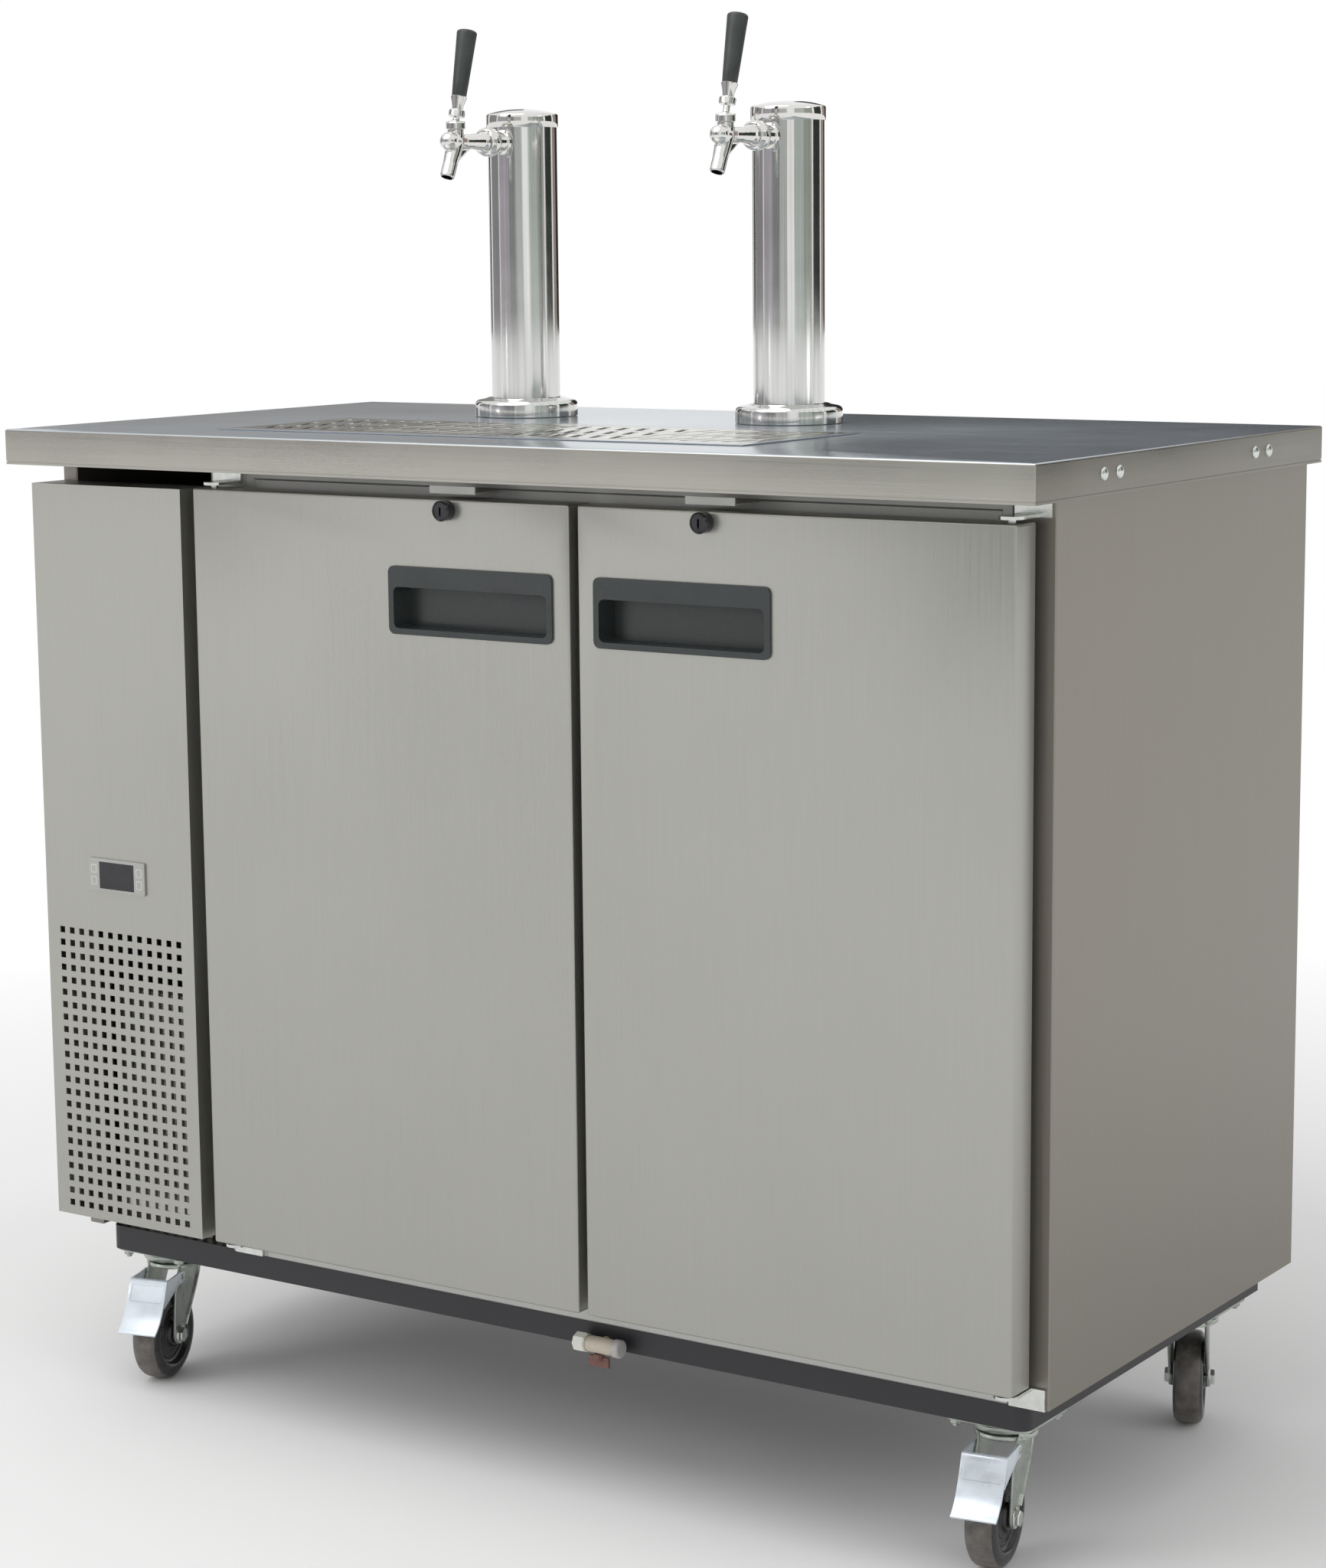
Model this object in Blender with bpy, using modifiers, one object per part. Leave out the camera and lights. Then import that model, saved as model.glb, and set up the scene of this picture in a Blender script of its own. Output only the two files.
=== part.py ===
"""Two-door keg cooler with two tap towers, a drip tray in its worktop and four swivel casters.

Metres, +Z up, +X to the right, the doors face -Y, and the origin is on the floor under the middle.
"""

import math

import bmesh
import bpy
from mathutils import Matrix, Vector

# Clearances
SEAT = 0.0003
RUNNING_GAP = 0.0004
CUT_OVERRUN = 0.002
MERGE_DISTANCE = 0.00001

# Cabinet, from the floor up
CASTER_HEIGHT = 0.145
PLINTH_HEIGHT = 0.0271
BODY_HEIGHT = 0.856
WORKTOP_THICK = 0.0374
WORKTOP_WIDTH = 1.240
WORKTOP_DEPTH = 0.635
WORKTOP_EDGE = 0.0025
SIDE_OVERHANG = 0.0156
FRONT_OVERHANG = 0.0717
REAR_OVERHANG = 0.0006
WALL_THICK = 0.044
MACHINE_WALL = 0.020
PARTITION_THICK = 0.048
FLOOR_THICK = 0.055
RAIL_HEIGHT = 0.050
RAIL_DEPTH = 0.044
POST_WIDTH = 0.070
PLINTH_SIDE_INSET = 0.0264
PLINTH_FRONT_INSET = 0.0058
PLINTH_REAR_INSET = 0.027
PLINTH_CORNER = 0.012
SHEET_EDGE = 0.0012

# Domed screws on the end of the worktop
STUD_RADIUS = 0.0065
STUD_HEIGHT = 0.003
STUD_SPACING = 0.032
STUD_ROW_OFFSET = 0.167
STUD_DROP = 0.0175
STUD_ROOT = 0.002
STUD_SHOULDER_SHARES = (0.6, 0.8)

# Front panel with the vent holes and the controller
PANEL_WIDTH = 0.2104
PANEL_TOP_DROP = 0.0207
PANEL_SHEET = 0.0015
VENT_COLUMNS = 13
VENT_ROWS = 23
VENT_HOLE = 0.007
VENT_PITCH_X = 0.01398
VENT_PITCH_Z = 0.01403
VENT_MARGIN = 0.0137
CONTROLLER_WIDTH = 0.080
CONTROLLER_HEIGHT = 0.036
CONTROLLER_LIFT = 0.389
CONTROLLER_BEZEL = 0.0022
CONTROLLER_LIP = 0.004
CONTROLLER_DEPTH = 0.045
DISPLAY_WIDTH = 0.050
DISPLAY_HEIGHT = 0.030
DISPLAY_RECESS = 0.0012
DISPLAY_THICK = 0.0008

# Doors
PANEL_GAP = 0.0171
DOOR_GAP = 0.0102
DOOR_SIDE_MARGIN = 0.0141
DOOR_TOP_DROP = 0.019
DOOR_LIFT = 0.0246
DOOR_THICK = 0.0375
DOOR_STANDOFF = 0.012
PIVOT_INSET = 0.015
GASKET_WIDTH = 0.013
GASKET_CLEARANCE = 0.0005
HANDLE_WIDTH = 0.201
HANDLE_HEIGHT = 0.069
HANDLE_EDGE_INSET = 0.0195
HANDLE_DROP = 0.0684
HANDLE_PROUD = 0.0022
HANDLE_CORNER = 0.007
CUP_SIDE_LIP = 0.006
CUP_TOP_LIP = 0.021
CUP_BOTTOM_LIP = 0.006
CUP_DEPTH = 0.022
CUP_WALL = 0.0018
LOCK_RADIUS = 0.0103
LOCK_PROUD = 0.012
LOCK_SHANK_RADIUS = 0.0080
LOCK_SHANK = 0.020
LOCK_EDGE_INSET = 0.147
LOCK_DROP = 0.0108
LOCK_NOSE_SHARES = (0.85, 0.8)
KEYWAY_WIDTH = 0.0022
KEYWAY_LENGTH = 0.008
KEYWAY_DEPTH = 0.004
KEEPER_WIDTH = 0.056
KEEPER_DROP = 0.0125
KEEPER_THICK = 0.0016
KEEPER_REACH = 0.040

# Door hinges
PIN_RADIUS = 0.004
PIN_DEPTH = 0.012
HINGE_SHEET = 0.003
HINGE_CLEARANCE = 0.003
HINGE_ARM_WIDTH = 0.024
HINGE_TAB_WIDTH = 0.026
HINGE_TAB_RISE = 0.018
HINGE_TOP_TAB = 0.0145

# Drip tray and its grates
TRAY_WIDTH = 0.645
TRAY_DEPTH = 0.209
TRAY_CENTRE_X = -0.0725
TRAY_FRONT_INSET = 0.1005
TRAY_HEIGHT = 0.033
TRAY_CLEARANCE = 0.001
TRAY_FLANGE = 0.007
TRAY_FLANGE_THICK = 0.001
TRAY_WALL = 0.0012
TRAY_LEDGE = 0.006
TRAY_BAR_HEIGHT = 0.005
TRAY_DRAIN_RADIUS = 0.010
GRATE_THICK = 0.003
GRATE_CLEARANCE = 0.001
GRATE_MARGIN = 0.015
SLOT_COLUMNS = 6
SLOT_ROWS = 3
SLOT_WIDTH = 0.007
SLOT_LENGTH = 0.046
SLOT_ANGLE = math.radians(20)

# Tap towers
TOWER_SPACING = 0.345
TOWER_CENTRE_X = -0.0815
TOWER_REAR_INSET = 0.1855
COLUMN_RADIUS = 0.0381
COLUMN_WALL = 0.0015
COLUMN_HEIGHT = 0.331
CAP_RADIUS = 0.0397
CAP_RIM = 0.014
CAP_DOME = 0.006
CAP_PLUG = 0.008
CAP_DOME_SHARES = (0.5, 0.8, 0.2)
BASE_RADIUS = 0.0575
BASE_WALL = 0.0125
BASE_SHOULDER = 0.006
BASE_COLLAR_RADIUS = 0.0425
BASE_HEIGHT = 0.021
TAP_DROP = 0.0305
SHANK_RADIUS = 0.0110
SHANK_LENGTH = 0.034
SHANK_INNER = 0.008
SHANK_FLANGE_RADIUS = 0.0132
SHANK_FLANGE = 0.004
NUT_RADIUS = 0.0160
NUT_LENGTH = 0.015
NUT_CHAMFER = 0.0025
BODY_ROOT_RADIUS = 0.0120
BODY_WAIST_RADIUS = 0.0085
BODY_LENGTH = 0.062
BODY_TAPER_SHARES = (0.5, 0.2)
BALL_RADIUS = 0.0100
BONNET_SETBACK = 0.012
BONNET_RADIUS = 0.0105
BONNET_NECK_RADIUS = 0.0085
BONNET_HEIGHT = 0.0215
BONNET_RING = 0.009
SPOUT_RADIUS = 0.0080
SPOUT_BORE = 0.0060
SPOUT_BORE_DEPTH = 0.003
SPOUT_LENGTH = 0.042
SPOUT_ANGLE = math.radians(24)
LEVER_BALL_RADIUS = 0.0062
LEVER_SINK = 0.0035
LEVER_STEM_RADIUS = 0.0042
LEVER_NECKS = (0.0080, 0.0125)
LEVER_LEAN = math.radians(13.5)
LEVER_NUT_RADIUS = 0.0090
LEVER_NUT_HEIGHT = 0.0075
FERRULE_LOW_RADIUS = 0.0067
FERRULE_TOP_RADIUS = 0.0090
FERRULE_HEIGHT = 0.015
GRIP_LOW_RADIUS = 0.0085
GRIP_TOP_RADIUS = 0.0113
GRIP_HEIGHT = 0.072
GRIP_EDGE = 0.0025

# Condensing unit behind the vent panel
UNIT_SIDE_GAP = 0.010
COIL_FRONT_GAP = 0.022
COIL_DEPTH = 0.040
COIL_HEIGHT = 0.270
FIN_COUNT = 12
FIN_SLOT_DEPTH = 0.010
FIN_SLOT_SHARE = 0.5
SHROUD_DEPTH = 0.045
SHROUD_HEIGHT = 0.200
FAN_RADIUS = 0.066
FAN_TIP_GAP = 0.004
FAN_HUB_RADIUS = 0.020
FAN_HUB_DEPTH = 0.022
FAN_BLADES = 5
BLADE_WIDTH = 0.034
BLADE_THICK = 0.0022
BLADE_PITCH = math.radians(24)
FAN_SHAFT_RADIUS = 0.004
FAN_FRONT_GAP = 0.006
SPIDER_WIDTH = 0.024
SPIDER_THICK = 0.006
MOTOR_RADIUS = 0.026
MOTOR_LENGTH = 0.030
COMPRESSOR_RADIUS = 0.070
COMPRESSOR_HEIGHT = 0.165
COMPRESSOR_DOME = 0.035
COMPRESSOR_FOOT = 0.004
COMPRESSOR_FOOT_WIDTH = 0.160
COMPRESSOR_FOOT_DEPTH = 0.120
COMPRESSOR_REAR_GAP = 0.060

# Evaporator cover under the ceiling of the cooled room
EVAPORATOR_WIDTH = 0.460
EVAPORATOR_DEPTH = 0.110
EVAPORATOR_HEIGHT = 0.100
EVAPORATOR_EDGE = 0.004
LOUVRE_COUNT = 9
LOUVRE_WIDTH = 0.036
LOUVRE_HEIGHT = 0.006
LOUVRE_PITCH = 0.046
LOUVRE_DEPTH = 0.005

# Drain valve at the front of the plinth
VALVE_SHIFT = -0.0087
VALVE_DROP = 0.0195
VALVE_RADIUS = 0.0085
VALVE_LENGTH = 0.056
VALVE_NUT_RADIUS = 0.0102
VALVE_NUT_LENGTH = 0.014
VALVE_STUB_RADIUS = 0.0055
VALVE_STANDOFF = 0.006
VALVE_LEVER_RADIUS = 0.0055
VALVE_LEVER_HUB = 0.006
VALVE_LEVER_LENGTH = 0.024
VALVE_LEVER_HEIGHT = 0.008
VALVE_LEVER_THICK = 0.003

# Casters
CASTER_SIDE_INSET = 0.048
CASTER_FRONT_INSET = 0.050
CASTER_REAR_INSET = 0.0679
WHEEL_RADIUS = 0.050
WHEEL_WIDTH = 0.032
WHEEL_CROWN = 0.006
WHEEL_DISH = 0.006
WHEEL_RIM_RADIUS = 0.034
WHEEL_HUB_RADIUS = 0.014
AXLE_RADIUS = 0.0055
AXLE_HEAD_RADIUS = 0.0085
AXLE_HEAD = 0.0065
TRAIL = 0.032
PLATE_WIDTH = 0.094
PLATE_DEPTH = 0.088
PLATE_THICK = 0.008
RACE_RADIUS = 0.029
RACE_HEIGHT = 0.007
KINGPIN_RADIUS = 0.006
CROWN_RADIUS = 0.031
CROWN_THICK = 0.006
LEG_THICK = 0.003
LEG_GAP = 0.0015
LEG_FOOT_RADIUS = 0.011
LEG_TOP_FRONT = 0.026
LEG_TOP_REAR = 0.020
PEDAL_PIN_RADIUS = 0.0035
PEDAL_PIN_Y = -0.026
PEDAL_PIN_DROP = 0.014
PEDAL_SHEET = 0.0024
PEDAL_TOP_Y = -0.062
PEDAL_TOP_DROP = 0.010
PEDAL_KNEE_Y = -0.076
PEDAL_KNEE_DROP = 0.040
PEDAL_TOE_Y = -0.096
PEDAL_TOE_DROP = 0.064
PEDAL_EAR_DEPTH = 0.012
CASTER_YAWS = {
    "front_left": math.radians(14),
    "front_right": math.radians(9),
    "rear_left": math.radians(188),
    "rear_right": math.radians(202),
}

# Facets of the round shapes
FACETS_FINE = 20
FACETS = 14
FACETS_SMALL = 12
FACETS_STUD = 8
BEVEL_STEPS = 2

# Levels and faces that many pieces share
PLINTH_LOW = CASTER_HEIGHT
PLINTH_TOP = PLINTH_LOW + PLINTH_HEIGHT
BODY_LOW = PLINTH_TOP + SEAT
BODY_TOP = BODY_LOW + BODY_HEIGHT
WORKTOP_LOW = BODY_TOP + SEAT
WORKTOP_TOP = WORKTOP_LOW + WORKTOP_THICK
HALF_WIDTH = WORKTOP_WIDTH / 2 - SIDE_OVERHANG
FACE_Y = -WORKTOP_DEPTH / 2 + FRONT_OVERHANG
REAR_Y = WORKTOP_DEPTH / 2 - REAR_OVERHANG
INNER_REAR_Y = REAR_Y - WALL_THICK - SEAT
PANEL_RIGHT = -HALF_WIDTH + PANEL_WIDTH
PARTITION_RIGHT = PANEL_RIGHT + PARTITION_THICK
INNER_RIGHT = HALF_WIDTH - WALL_THICK - SEAT
DOOR_BACK_Y = FACE_Y - DOOR_STANDOFF
DOOR_FRONT_Y = DOOR_BACK_Y - DOOR_THICK
DOOR_LOW = BODY_LOW + DOOR_LIFT
DOOR_TOP = BODY_TOP - DOOR_TOP_DROP
DOORS_LEFT = PANEL_RIGHT + PANEL_GAP
DOORS_RIGHT = HALF_WIDTH - DOOR_SIDE_MARGIN
DOOR_WIDTH = (DOORS_RIGHT - DOORS_LEFT - DOOR_GAP) / 2
PIVOT_Y = (DOOR_FRONT_Y + DOOR_BACK_Y) / 2
DOOR_MIDDLE = (DOORS_LEFT + DOORS_RIGHT) / 2
PLINTH_FRONT = FACE_Y + PLINTH_FRONT_INSET
PLINTH_REAR = REAR_Y - PLINTH_REAR_INSET
PLINTH_SIDE = HALF_WIDTH - PLINTH_SIDE_INSET
CASTER_X = PLINTH_SIDE - CASTER_SIDE_INSET
CASTER_FRONT_Y = PLINTH_FRONT + CASTER_FRONT_INSET
CASTER_REAR_Y = PLINTH_REAR - CASTER_REAR_INSET
VALVE_X = DOOR_MIDDLE + VALVE_SHIFT
TAP_Z = WORKTOP_TOP + SEAT + COLUMN_HEIGHT - TAP_DROP
TOWER_Y = WORKTOP_DEPTH / 2 - TOWER_REAR_INSET


def fresh_scene():
    for old in list(bpy.data.objects):
        bpy.data.objects.remove(old)


def new_collection(name):
    made = bpy.data.collections.new(name)
    bpy.context.scene.collection.children.link(made)
    return made


fresh_scene()
PARTS = new_collection("keg_cooler")
CUTTERS = new_collection("cutters")


def look(name, colour, roughness, metallic):
    made = bpy.data.materials.new(name)
    made.use_nodes = True
    shader = made.node_tree.nodes["Principled BSDF"]
    shader.inputs["Base Color"].default_value = (*colour, 1.0)
    shader.inputs["Roughness"].default_value = roughness
    shader.inputs["Metallic"].default_value = metallic
    return made


FRONT_STEEL = look("front_steel", (0.42, 0.41, 0.38), 0.38, 0.9)
SIDE_STEEL = look("side_steel", (0.28, 0.26, 0.23), 0.42, 0.9)
TOP_STEEL = look("top_steel", (0.50, 0.54, 0.58), 0.28, 0.95)
LINER = look("liner", (0.55, 0.55, 0.53), 0.5, 0.4)
BLACK_PAINT = look("black_paint", (0.02, 0.02, 0.024), 0.5, 0.1)
BLACK_PLASTIC = look("black_plastic", (0.018, 0.02, 0.02), 0.32, 0.0)
CHROME = look("chrome", (0.75, 0.74, 0.72), 0.1, 1.0)
BLACK_CHROME = look("black_chrome", (0.03, 0.03, 0.032), 0.15, 0.9)
ZINC = look("zinc", (0.55, 0.56, 0.53), 0.35, 0.9)
WHITE_ZINC = look("white_zinc", (0.72, 0.78, 0.84), 0.35, 0.6)
WHEEL_RUBBER = look("wheel_rubber", (0.03, 0.027, 0.026), 0.4, 0.0)
GASKET_RUBBER = look("gasket_rubber", (0.03, 0.03, 0.03), 0.7, 0.0)
GREY_PLASTIC = look("grey_plastic", (0.38, 0.38, 0.37), 0.4, 0.0)
DISPLAY_GLASS = look("display_glass", (0.012, 0.013, 0.016), 0.12, 0.0)
VALVE_PLASTIC = look("valve_plastic", (0.60, 0.56, 0.48), 0.45, 0.0)
COPPER_BROWN = look("copper_brown", (0.35, 0.16, 0.09), 0.4, 0.7)
FIN_METAL = look("fin_metal", (0.6, 0.6, 0.58), 0.4, 0.9)


def frame_at(name, location, yaw=0.0):
    """An empty that carries a group of pieces, such as a door at its hinge line."""
    made = bpy.data.objects.new(name, None)
    made.location = location
    made.rotation_euler = (0, 0, yaw)
    made.empty_display_size = WHEEL_RADIUS
    PARTS.objects.link(made)
    return made


def add(name, mesh, paint=None, group=None, location=(0, 0, 0), turn=None):
    made = bpy.data.objects.new(name, mesh)
    made.location = location
    if turn is not None:
        made.rotation_euler = turn.to_euler()
    made.parent = group
    if paint is None:
        CUTTERS.objects.link(made)
        made.hide_render = True
        made.display_type = "WIRE"
    else:
        PARTS.objects.link(made)
        mesh.materials.append(paint)
    return made


def finish(name, build):
    mesh = bpy.data.meshes.new(name)
    build.to_mesh(mesh)
    build.free()
    return mesh


def box(name, low, high, paint=None, group=None):
    low, high = Vector(low), Vector(high)
    build = bmesh.new()
    bmesh.ops.create_cube(build, size=1.0)
    bmesh.ops.scale(build, vec=high - low, verts=build.verts)
    return add(name, finish(name, build), paint, group, (low + high) / 2)


ALONG = {
    "X": Matrix.Rotation(math.pi / 2, 3, "Y"),
    "-X": Matrix.Rotation(-math.pi / 2, 3, "Y"),
    "Y": Matrix.Rotation(-math.pi / 2, 3, "X"),
    "-Y": Matrix.Rotation(math.pi / 2, 3, "X"),
    "Z": Matrix.Identity(3),
}


def rod(name, radius, start, length, axis, paint=None, group=None, facets=FACETS_SMALL):
    """A cylinder from a start point along an axis."""
    build = bmesh.new()
    bmesh.ops.create_cone(build, cap_ends=True, segments=facets,
                          radius1=radius, radius2=radius, depth=length)
    bmesh.ops.translate(build, vec=(0, 0, length / 2), verts=build.verts)
    mesh = finish(name, build)
    mesh.shade_smooth()
    mesh.set_sharp_from_angle(angle=math.radians(35))
    return add(name, mesh, paint, group, start, ALONG[axis])


def turned(name, profile, start, axis, paint=None, group=None, facets=FACETS, ring=False, turn=None):
    """A profile of (radius, height) points, outer side from the top down, turned about its axis."""
    build = bmesh.new()
    corners = [build.verts.new((radius, 0, height)) for radius, height in profile]
    for one, two in zip(corners, corners[1:]):
        build.edges.new((one, two))
    if ring:
        build.edges.new((corners[-1], corners[0]))
    made = add(name, finish(name, build), paint, group, start, turn or ALONG[axis])
    screw = made.modifiers.new("turn", "SCREW")
    screw.axis = "Z"
    screw.steps = facets
    screw.render_steps = facets
    screw.use_merge_vertices = True
    screw.merge_threshold = MERGE_DISTANCE
    screw.use_smooth_shade = True
    return made


def plate(name, outline, thickness, start, axis, paint=None, group=None):
    """A flat outline in the object's XY plane, made solid from its start along an axis."""
    curve = bpy.data.curves.new(name, "CURVE")
    curve.dimensions = "2D"
    curve.fill_mode = "BOTH"
    curve.extrude = thickness / 2
    line = curve.splines.new("POLY")
    line.points.add(len(outline) - 1)
    for point, (across, up) in zip(line.points, outline):
        point.co = (across, up, 0, 1)
    line.use_cyclic_u = True
    guide = bpy.data.objects.new(name + "_outline", curve)
    PARTS.objects.link(guide)
    depsgraph = bpy.context.evaluated_depsgraph_get()
    mesh = bpy.data.meshes.new_from_object(guide.evaluated_get(depsgraph))
    bpy.data.objects.remove(guide)
    build = bmesh.new()
    build.from_mesh(mesh)
    bmesh.ops.remove_doubles(build, verts=build.verts, dist=MERGE_DISTANCE)
    bmesh.ops.translate(build, vec=(0, 0, thickness / 2), verts=build.verts)
    bmesh.ops.recalc_face_normals(build, faces=build.faces)
    return add(name, finish(name, build), paint, group, start, ALONG[axis])


def shape(target, tool, operation):
    step = target.modifiers.new(operation.lower(), "BOOLEAN")
    step.object = tool
    step.operation = operation
    step.solver = "EXACT"


def cut(target, *tools):
    for tool in tools:
        shape(target, tool, "DIFFERENCE")


def weld(target, *tools):
    for tool in tools:
        shape(target, tool, "UNION")


def soften(target, width, steps=BEVEL_STEPS, angle=30):
    bevel = target.modifiers.new("edges", "BEVEL")
    bevel.width = width
    bevel.segments = steps
    bevel.limit_method = "ANGLE"
    bevel.angle_limit = math.radians(angle)
    bevel.harden_normals = False


def many_boxes(name, centres, size, turns=None, group=None):
    """One cutter made of equal boxes, each on its own centre."""
    build = bmesh.new()
    for number, centre in enumerate(centres):
        turn = Matrix.Rotation(turns[number], 4, "Z") if turns else Matrix.Identity(4)
        scale = Matrix.Diagonal((*size, 1))
        bmesh.ops.create_cube(build, size=1.0, matrix=Matrix.Translation(centre) @ turn @ scale)
    return add(name, finish(name, build), None, group)


def arc(centre, radius, start, end, steps):
    """Points on an arc, angles in radians, both ends included."""
    spread = [start + (end - start) * step / steps for step in range(steps + 1)]
    return [(centre[0] + radius * math.cos(angle), centre[1] + radius * math.sin(angle))
            for angle in spread]


def walls():
    body = (BODY_LOW, BODY_TOP)
    left = box("left_side_panel", (-HALF_WIDTH, FACE_Y, body[0]),
               (-HALF_WIDTH + MACHINE_WALL, REAR_Y, body[1]), SIDE_STEEL)
    right = box("right_side_panel", (HALF_WIDTH - WALL_THICK, FACE_Y, body[0]),
                (HALF_WIDTH, REAR_Y, body[1]), SIDE_STEEL)
    rear = box("rear_wall", (-HALF_WIDTH + MACHINE_WALL + SEAT, REAR_Y - WALL_THICK, body[0]),
               (INNER_RIGHT, REAR_Y, body[1]), SIDE_STEEL)
    middle = box("partition_wall", (PANEL_RIGHT, FACE_Y, body[0]),
                 (PARTITION_RIGHT, INNER_REAR_Y, body[1]), LINER)
    floor_top = BODY_LOW + FLOOR_THICK
    floor = box("cabinet_floor", (PARTITION_RIGHT + SEAT, FACE_Y, body[0]),
                (INNER_RIGHT, INNER_REAR_Y, floor_top), LINER)
    box("centre_post", (DOOR_MIDDLE - POST_WIDTH / 2, FACE_Y, floor_top + SEAT),
        (DOOR_MIDDLE + POST_WIDTH / 2, FACE_Y + RAIL_DEPTH, BODY_TOP - RAIL_HEIGHT - SEAT), LINER)
    for wall in (left, right, rear, middle, floor):
        soften(wall, SHEET_EDGE, 1)


def lock_x(side):
    free_edge = DOOR_MIDDLE + side * DOOR_GAP / 2
    return free_edge + side * LOCK_EDGE_INSET


def top_rail():
    low = BODY_TOP - RAIL_HEIGHT
    rail = box("top_rail", (PARTITION_RIGHT + SEAT, FACE_Y, low),
               (INNER_RIGHT, FACE_Y + RAIL_DEPTH, BODY_TOP), LINER)
    for side in (-1, 1):
        middle = lock_x(side)
        reach = FACE_Y - KEEPER_REACH
        tongue = box(f"keeper_tongue_{side}", (middle - KEEPER_WIDTH / 2, reach, BODY_TOP - KEEPER_THICK),
                     (middle + KEEPER_WIDTH / 2, FACE_Y + KEEPER_THICK, BODY_TOP))
        tab = box(f"keeper_tab_{side}", (middle - KEEPER_WIDTH / 2, reach, BODY_TOP - KEEPER_DROP),
                  (middle + KEEPER_WIDTH / 2, reach + KEEPER_THICK, BODY_TOP))
        weld(rail, tongue, tab)


def plinth():
    side = PLINTH_SIDE
    quarter = math.pi / 2
    left_front = arc((-side + PLINTH_CORNER, PLINTH_FRONT + PLINTH_CORNER), PLINTH_CORNER,
                     -2 * quarter, -quarter, 4)
    right_front = arc((side - PLINTH_CORNER, PLINTH_FRONT + PLINTH_CORNER), PLINTH_CORNER,
                      -quarter, 0, 4)
    outline = left_front + right_front + [(side, PLINTH_REAR), (-side, PLINTH_REAR)]
    plate("base_plinth", outline, PLINTH_HEIGHT, (0, 0, PLINTH_LOW), "Z", BLACK_PAINT)


def tray_box():
    """The cut-out for the drip tray: its low and high corners in plan."""
    front = -WORKTOP_DEPTH / 2 + TRAY_FRONT_INSET
    low = (TRAY_CENTRE_X - TRAY_WIDTH / 2, front)
    return low, (low[0] + TRAY_WIDTH, front + TRAY_DEPTH)


def worktop():
    half = Vector((WORKTOP_WIDTH / 2, WORKTOP_DEPTH / 2, 0))
    top = box("worktop", -half + Vector((0, 0, WORKTOP_LOW)), half + Vector((0, 0, WORKTOP_TOP)), TOP_STEEL)
    soften(top, WORKTOP_EDGE)
    low, high = tray_box()
    cut(top, box("tray_cutout", (*low, WORKTOP_LOW - CUT_OVERRUN), (*high, WORKTOP_TOP + CUT_OVERRUN)))
    across_share, up_share = STUD_SHOULDER_SHARES
    dome = [(0, STUD_HEIGHT), (STUD_RADIUS * across_share, STUD_HEIGHT * up_share), (STUD_RADIUS, 0),
            (STUD_RADIUS, -STUD_ROOT), (0, -STUD_ROOT)]
    for end in (-1, 1):
        for row in (-1, 1):
            for place in (-1, 1):
                middle = row * STUD_ROW_OFFSET + place * STUD_SPACING / 2
                stud = turned(f"stud_{end}_{row}_{place}", dome,
                              (end * WORKTOP_WIDTH / 2, middle, WORKTOP_TOP - STUD_DROP),
                              "X" if end > 0 else "-X", facets=FACETS_STUD)
                weld(top, stud)


def vent_panel():
    low = (-HALF_WIDTH, DOOR_FRONT_Y, DOOR_LOW)
    high = (PANEL_RIGHT - SEAT, FACE_Y - SEAT, BODY_TOP - PANEL_TOP_DROP)
    panel = box("grille_panel", low, high, FRONT_STEEL)
    sheet = Vector((PANEL_SHEET, PANEL_SHEET, PANEL_SHEET))
    hollow_high = Vector(high) - sheet
    hollow_high.y = high[1] + CUT_OVERRUN
    cut(panel, box("panel_hollow", Vector(low) + sheet, hollow_high))
    middle = (low[0] + PANEL_RIGHT) / 2
    places = []
    for column in range(VENT_COLUMNS):
        for row in range(VENT_ROWS):
            across = middle + (column - (VENT_COLUMNS - 1) / 2) * VENT_PITCH_X
            up = DOOR_LOW + VENT_MARGIN + row * VENT_PITCH_Z
            places.append((across, DOOR_FRONT_Y + PANEL_SHEET / 2, up))
    hole = (VENT_HOLE, PANEL_SHEET + 2 * CUT_OVERRUN, VENT_HOLE)
    cut(panel, many_boxes("vent_holes", places, hole))
    controller(panel, middle)


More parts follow.
